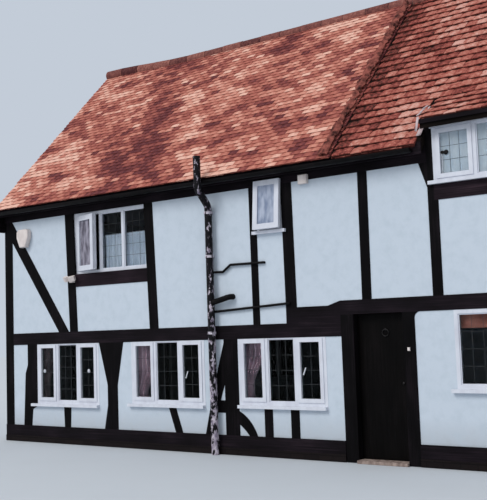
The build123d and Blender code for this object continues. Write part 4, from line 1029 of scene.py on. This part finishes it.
# %% Bead of the small sash
BEAD = 0.034
BEAD_THICKNESS = 0.012
OVER_THE_GLASS = 0.004
bead = bmesh.new()
bmesh.ops.create_grid(bead, x_segments=1, y_segments=1, size=0.5)
middle = sum(sash_corners, Vector()) / len(sash_corners)
sash_width = (max(c.x for c in sash_corners) - min(c.x for c in sash_corners)) + OVER_THE_GLASS
sash_height = max((a - b).length for a in sash_corners for b in sash_corners
                  if abs(a.x - b.x) < 0.01) + OVER_THE_GLASS
facing = sash_outward.to_track_quat("Z", "Y").to_matrix().to_4x4()
bmesh.ops.transform(bead, verts=bead.verts,
                    matrix=Matrix.Translation(middle + sash_outward * 0.002) @ facing
                    @ Matrix.Diagonal((sash_width, sash_height, 1, 1)))
bmesh.ops.inset_region(bead, faces=list(bead.faces), thickness=BEAD, use_boundary=True)
inner = min(bead.faces, key=lambda f: (f.calc_center_median() - middle).length)
bmesh.ops.delete(bead, geom=[inner], context="FACES_ONLY")
thicken(bead, -BEAD_THICKNESS)
soften(bead, list(bead.edges), 0.0015)
new_piece("sash_bead", bead, [white_plastic], smooth=40)
print("the pane of the small sash has", len(sash_corners), "corners on its outer face")

# %% [markdown]
# **Leaded lights.** The cottage windows have strips of lead across the glass: rows about 200 mm
# apart, with three columns in a wide light and two in a narrow one. A strip is a thin bar with
# rounded edges, and the number of bars follows from the size of the pane.

# %% Lead the lights
CAME_WIDTH = 0.005
CAME_DEPTH = 0.003
LEAD_ROW = 0.2
LEAD_COLUMN = 0.145
leads = bmesh.new()
for low, high in front_panes + back_panes:
    face = low.y - CAME_DEPTH / 2 if high.y < 0 else high.y + CAME_DEPTH / 2
    wide, tall = high.x - low.x, high.z - low.z
    rows, columns = max(2, round(tall / LEAD_ROW)), max(2, round(wide / LEAD_COLUMN))
    for index in range(1, rows):
        spot = ((low.x + high.x) / 2, face, low.z + tall * index / rows)
        block(leads, Matrix.Translation(spot), (wide, CAME_DEPTH, CAME_WIDTH))
    for index in range(1, columns):
        spot = (low.x + wide * index / columns, face, (low.z + high.z) / 2)
        block(leads, Matrix.Translation(spot), (CAME_WIDTH, CAME_DEPTH, tall))
soften(leads, list(leads.edges), 0.001, 1)
new_piece("lead_strips", leads, [came])

# %% [markdown]
# **Curtain cloth.** What shows behind the glass is a dusky pink cotton held back at the left of
# three ground-floor windows, thin white voile upstairs and a brown woven blind. Threads are under
# a millimetre, too fine to see from so far, so the weave is drawn at about 5 mm. Cloth scatters
# light at its edges, which is what sheen is for.

# %% Cloth finishes


def cloth(name, first, second, sheen):
    material, tree, shader, place = new_finish(name, Roughness=0.95, Sheen_Weight=sheen,
                                               Specular_IOR_Level=0.1)
    heights = []
    for axis in "XZ":
        threads = add(tree, "TexWave", {"Vector": place, "Scale": 32.0, "Distortion": 0.6,
                                        "Detail": 1.0}, bands_direction=axis)
        heights.append(threads.outputs["Fac"])
    weave = add(tree, "Math", {0: heights[0], 1: heights[1]}, operation="MULTIPLY").outputs["Value"]
    soiled = add(tree, "TexNoise", {"Vector": place, "Scale": 5.0, "Detail": 4.0}).outputs["Fac"]
    colour = add(tree, "ValToRGB", {"Fac": soiled},
                 [(0.35, first), (0.65, second)]).outputs["Color"]
    set_input(tree, shader, "Base Color", colour)
    woven = add(tree, "Bump", {"Height": weave, "Strength": 0.3, "Distance": 0.001})
    set_input(tree, shader, "Normal", woven.outputs["Normal"])
    return material


pink_cotton = cloth("dusky_pink_cotton", "#a2868e", "#dcbac2", 0.15)
voile = cloth("white_voile", "#dfe6ee", "#ecf1f6", 0.1)
brown_weave = cloth("brown_woven_blind", "#a8604e", "#c07a66", 0.1)
print("cloths made")

# %% [markdown]
# **Curtain rods.** Every curtain hangs from a slim enamelled rod with a small stop at each end. A
# rod is a profile spun round its own axis, which is how a lathe would make it, and the same
# function will turn the knobs of the window catches.

# %% Turn the rods
ROD_RADIUS = 0.005
STOP_RADIUS = 0.013
CURTAIN_DEPTH = 0.118
COTTAGE_ROD_HEIGHT = 1.652
RAISED_ROD_HEIGHT = 4.268
KITCHEN_ROD_HEIGHT = 1.93
BEDROOM_DEPTH = 0.136


def turned(mesh_work, spot, profile, axis, segments=16):
    """Spins a profile of (distance along the axis, radius) about an axis through a spot."""
    across = Vector((0, 0, 1)) if axis != "Z" else Vector((1, 0, 0))
    along = Vector([float(axis == name) for name in "XYZ"])
    points = [mesh_work.verts.new(spot + along * far + across * radius) for far, radius in profile]
    lines = [mesh_work.edges.new(pair) for pair in zip(points, points[1:])]
    bmesh.ops.spin(mesh_work, geom=points + lines, cent=spot, axis=along, angle=2 * math.pi,
                   steps=segments, use_merge=True)
    bmesh.ops.remove_doubles(mesh_work, verts=list(mesh_work.verts), dist=1e-5)
    bmesh.ops.recalc_face_normals(mesh_work, faces=mesh_work.faces)


# Each rod: its two ends along the front, its height, and how far it is behind the front.
RODS = {
    "hall": (0.815, 2.295, COTTAGE_ROD_HEIGHT, CURTAIN_DEPTH),
    "parlour": (3.02, 4.5, COTTAGE_ROD_HEIGHT, CURTAIN_DEPTH),
    "dining room": (5.13, 6.61, COTTAGE_ROD_HEIGHT, CURTAIN_DEPTH),
    "bedroom": (2.37, 3.43, 3.40, BEDROOM_DEPTH),
    "raised window": (8.3, 9.95, RAISED_ROD_HEIGHT, CURTAIN_DEPTH),
    "kitchen": (8.47, 10.11, KITCHEN_ROD_HEIGHT, CURTAIN_DEPTH),
}
rods = bmesh.new()
for x0, x1, height, depth in RODS.values():
    reach = x1 - x0
    turned(rods, at(x0, depth, height),
           [(0, 0), (0, STOP_RADIUS), (0.012, STOP_RADIUS), (0.014, ROD_RADIUS),
            (reach - 0.014, ROD_RADIUS), (reach - 0.012, STOP_RADIUS), (reach, STOP_RADIUS),
            (reach, 0)], "X", 12)
new_piece("curtain_rods", rods, [net_rod], smooth=40)
print("rods in:", ", ".join(RODS))

# %% [markdown]
# **Hanging a curtain.** A curtain is cut much wider than the window and the spare width goes into
# folds. So the width of the cloth is kept: where the curtain is pulled in narrow, its folds get
# deeper by just as much. A grid is the flat cloth, and each point is moved to its fold. Solidify
# then gives it its millimetre of thickness.

# %% Hang the curtains
CLOTH_THICKNESS = 0.001


def hang(name, finish, left, top, bottom, depth, cut, folds, width_at):
    """A gathered sheet, cut metres wide; width_at gives its hung width from its top to its foot."""
    drop = top - bottom
    sheet_work = bmesh.new()
    bmesh.ops.create_grid(sheet_work, x_segments=folds * 10, y_segments=18, size=0.5)
    for vert in sheet_work.verts:
        u, fallen = vert.co.x + 0.5, 0.5 - vert.co.y
        width = width_at(fallen)
        swing = math.sqrt(max(0, cut * cut - width * width)) / (4 * folds)
        turn = 2 * math.pi * folds * u + 0.7 * math.sin(3 * fallen + 5 * u)
        vert.co = at(left + u * width, depth + swing * math.sin(turn), top - fallen * drop)
    area = sum(f.calc_area() for f in sheet_work.faces)
    thicken(sheet_work, CLOTH_THICKNESS)
    piece = new_piece(name, sheet_work, [finish], smooth=60)
    print(name, "is cut", round(area / drop, 2), "m wide")


# Each curtain: its left edge, its foot, its width at the top, how far it is pulled in, and where
# down its height that starts and over how much of it.
for name, left, bottom, full, pulled, start, reach in (
        ("hall_curtain", 0.83, 0.68, 0.42, 0.26, 0.0, 0.75),
        ("parlour_curtain", 3.035, 0.72, 0.43, 0.22, 0.45, 0.4),
        ("dining_curtain", 5.145, 0.74, 0.43, 0.27, 0.1, 0.65)):
    hang(name, pink_cotton, left, COTTAGE_ROD_HEIGHT, bottom, CURTAIN_DEPTH, 0.8, 5,
         lambda fallen: full - pulled * ease((fallen - start) / reach))
hang("bedroom_net", voile, 2.38, 3.45, 2.86, BEDROOM_DEPTH, 1.35, 14, lambda fallen: 1.0)
hang("raised_window_net", voile, 8.31, RAISED_ROD_HEIGHT, 3.615, CURTAIN_DEPTH, 2.2, 22,
     lambda fallen: 1.63)
hang("kitchen_blind", brown_weave, 8.48, KITCHEN_ROD_HEIGHT, 1.73, CURTAIN_DEPTH, 1.625, 9,
     lambda fallen: 1.62)

# %% [markdown]
# **Catches.** Small catches show in the front windows: round white ones in the left window, white
# arms in the next two, and a black knob over a pale stay in the raised window. In the house they
# are behind the panes. They are set on the outer face here, because the tinted glass would hide
# them. A knob is a short profile spun round; an arm is a bar that widens at its foot and is
# bevelled.

# %% Window catches
ON_THE_GLASS = 0.029
ARM_DEPTH = 0.021
ARM_LEAN = math.radians(18)
ARM_SIZE = (0.014, 0.012, 0.11)
white_catches, black_catches = bmesh.new(), bmesh.new()
for x in (0.975, 2.045):
    turned(white_catches, at(x, ON_THE_GLASS, 1.21),
           [(0, 0), (0, 0.03), (-0.005, 0.032), (-0.01, 0.027), (-0.013, 0.0)], "Y")
for x, height in ((4.145, 1.15), (6.25, 1.2)):
    spot = at(x, ARM_DEPTH, height)
    leaning = Matrix.Translation(spot) @ Matrix.Rotation(ARM_LEAN, 4, "Y")
    verts = block(white_catches, leaning, ARM_SIZE)
    foot = [v for v in verts if v.co.z < height]
    bmesh.ops.scale(white_catches, vec=(1.6, 1, 1), verts=foot, space=Matrix.Translation(-spot))
    soften(white_catches, once(e for v in verts for e in v.link_edges), 0.003)
turned(white_catches, at(8.425, 0.02, 3.69),
       [(0, 0), (0, 0.009), (0.02, 0.005), (0.25, 0.005), (0.255, 0.0)], "Z", 10)
new_piece("white_catches", white_catches, [net_rod], smooth=40)
turned(black_catches, at(8.43, ON_THE_GLASS, 3.958),
       [(0, 0), (0, 0.02), (-0.006, 0.024), (-0.012, 0.024), (-0.016, 0.0)], "Y")
turned(black_catches, at(8.48, ON_THE_GLASS, 3.955),
       [(0, 0), (0, 0.028), (-0.008, 0.032), (-0.014, 0.028), (-0.018, 0.0)], "Y")
new_piece("black_catches", black_catches, [black_iron], smooth=40)

# %% [markdown]
# **Floor.** The house stands on a plain pale studio floor, wide enough to fill every view. It is
# one large grid a few millimetres below the walls, so that it never fights with them for the same
# place.

# %% Floor
FLOOR_REACH = 60
FLOOR_HEIGHT = -0.003
floor_finish, tree, shader, place = new_finish("plain_floor", Roughness=0.95)
spots = add(tree, "TexNoise", {"Vector": place, "Scale": 0.8, "Detail": 2.0}).outputs["Fac"]
pale = add(tree, "ValToRGB", {"Fac": spots}, [(0.3, "#c2c8cf"), (0.7, "#c4cad1")]).outputs["Color"]
set_input(tree, shader, "Base Color", pale)
ground = bmesh.new()
bmesh.ops.create_grid(ground, x_segments=4, y_segments=4, size=FLOOR_REACH,
                      matrix=Matrix.Translation((0, 0, FLOOR_HEIGHT)))
ground_mesh = bpy.data.meshes.new("studio_floor")
ground.to_mesh(ground_mesh)
ground.free()
ground_mesh.materials.append(floor_finish)
in_scene("studio_floor", ground_mesh)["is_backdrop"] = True
print("floor laid")

# %% [markdown]
# **Backdrop and light.** The world is an even pale blue where the camera, the glass and the gloss
# see it, and near white where it lights the house. It gives most of the light, at a level where a
# colour comes out about as it is written, and one wide lamp from the left front models the timbers
# with soft shadows.

# %% World and lamp
BACKDROP = "#c3ccd8"
SKY_LIGHT = (0.93, 0.96, 1.0, 1)
SKY_STRENGTH = 0.72
LAMP_STRENGTH = 1.5
world = bpy.data.worlds.new("pale_studio")
bpy.context.scene.world = world
world.use_nodes = True
sky = world.node_tree
sky.nodes.clear()
ray = add(sky, "LightPath")
seen = ray.outputs["Is Camera Ray"]
for kind in ("Is Glossy Ray", "Is Transmission Ray"):
    seen = add(sky, "Math", {0: seen, 1: ray.outputs[kind]}, operation="MAXIMUM").outputs["Value"]
shown = add(sky, "Background", {"Color": srgb(BACKDROP), "Strength": 1.0}).outputs["Background"]
lit = add(sky, "Background", {"Color": SKY_LIGHT, "Strength": SKY_STRENGTH}).outputs["Background"]
mixed = add(sky, "MixShader", {0: seen, 1: lit, 2: shown})
add(sky, "OutputWorld", {"Surface": mixed.outputs["Shader"]})

lamp_data = bpy.data.lights.new("soft_key", "SUN")
lamp_data.energy = LAMP_STRENGTH
lamp_data.angle = math.radians(25)
lamp_data.color = (1.0, 0.98, 0.95)
lamp = in_scene("soft_key", lamp_data)
lamp.rotation_euler = (math.radians(48), 0, math.radians(-22))
bpy.context.scene.view_settings.view_transform = "Standard"
print("light ready")

# %% [markdown]
# Last, the visual model is measured against the frame's own box, and how far it lies outside is
# printed.

# %% Check the size and finish
seen_low, seen_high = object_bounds()
outside = [round(max(0, v), 4) for v in (*(cad_low - seen_low), *(seen_high - cad_high))]
print("outside the frame's box by", outside)
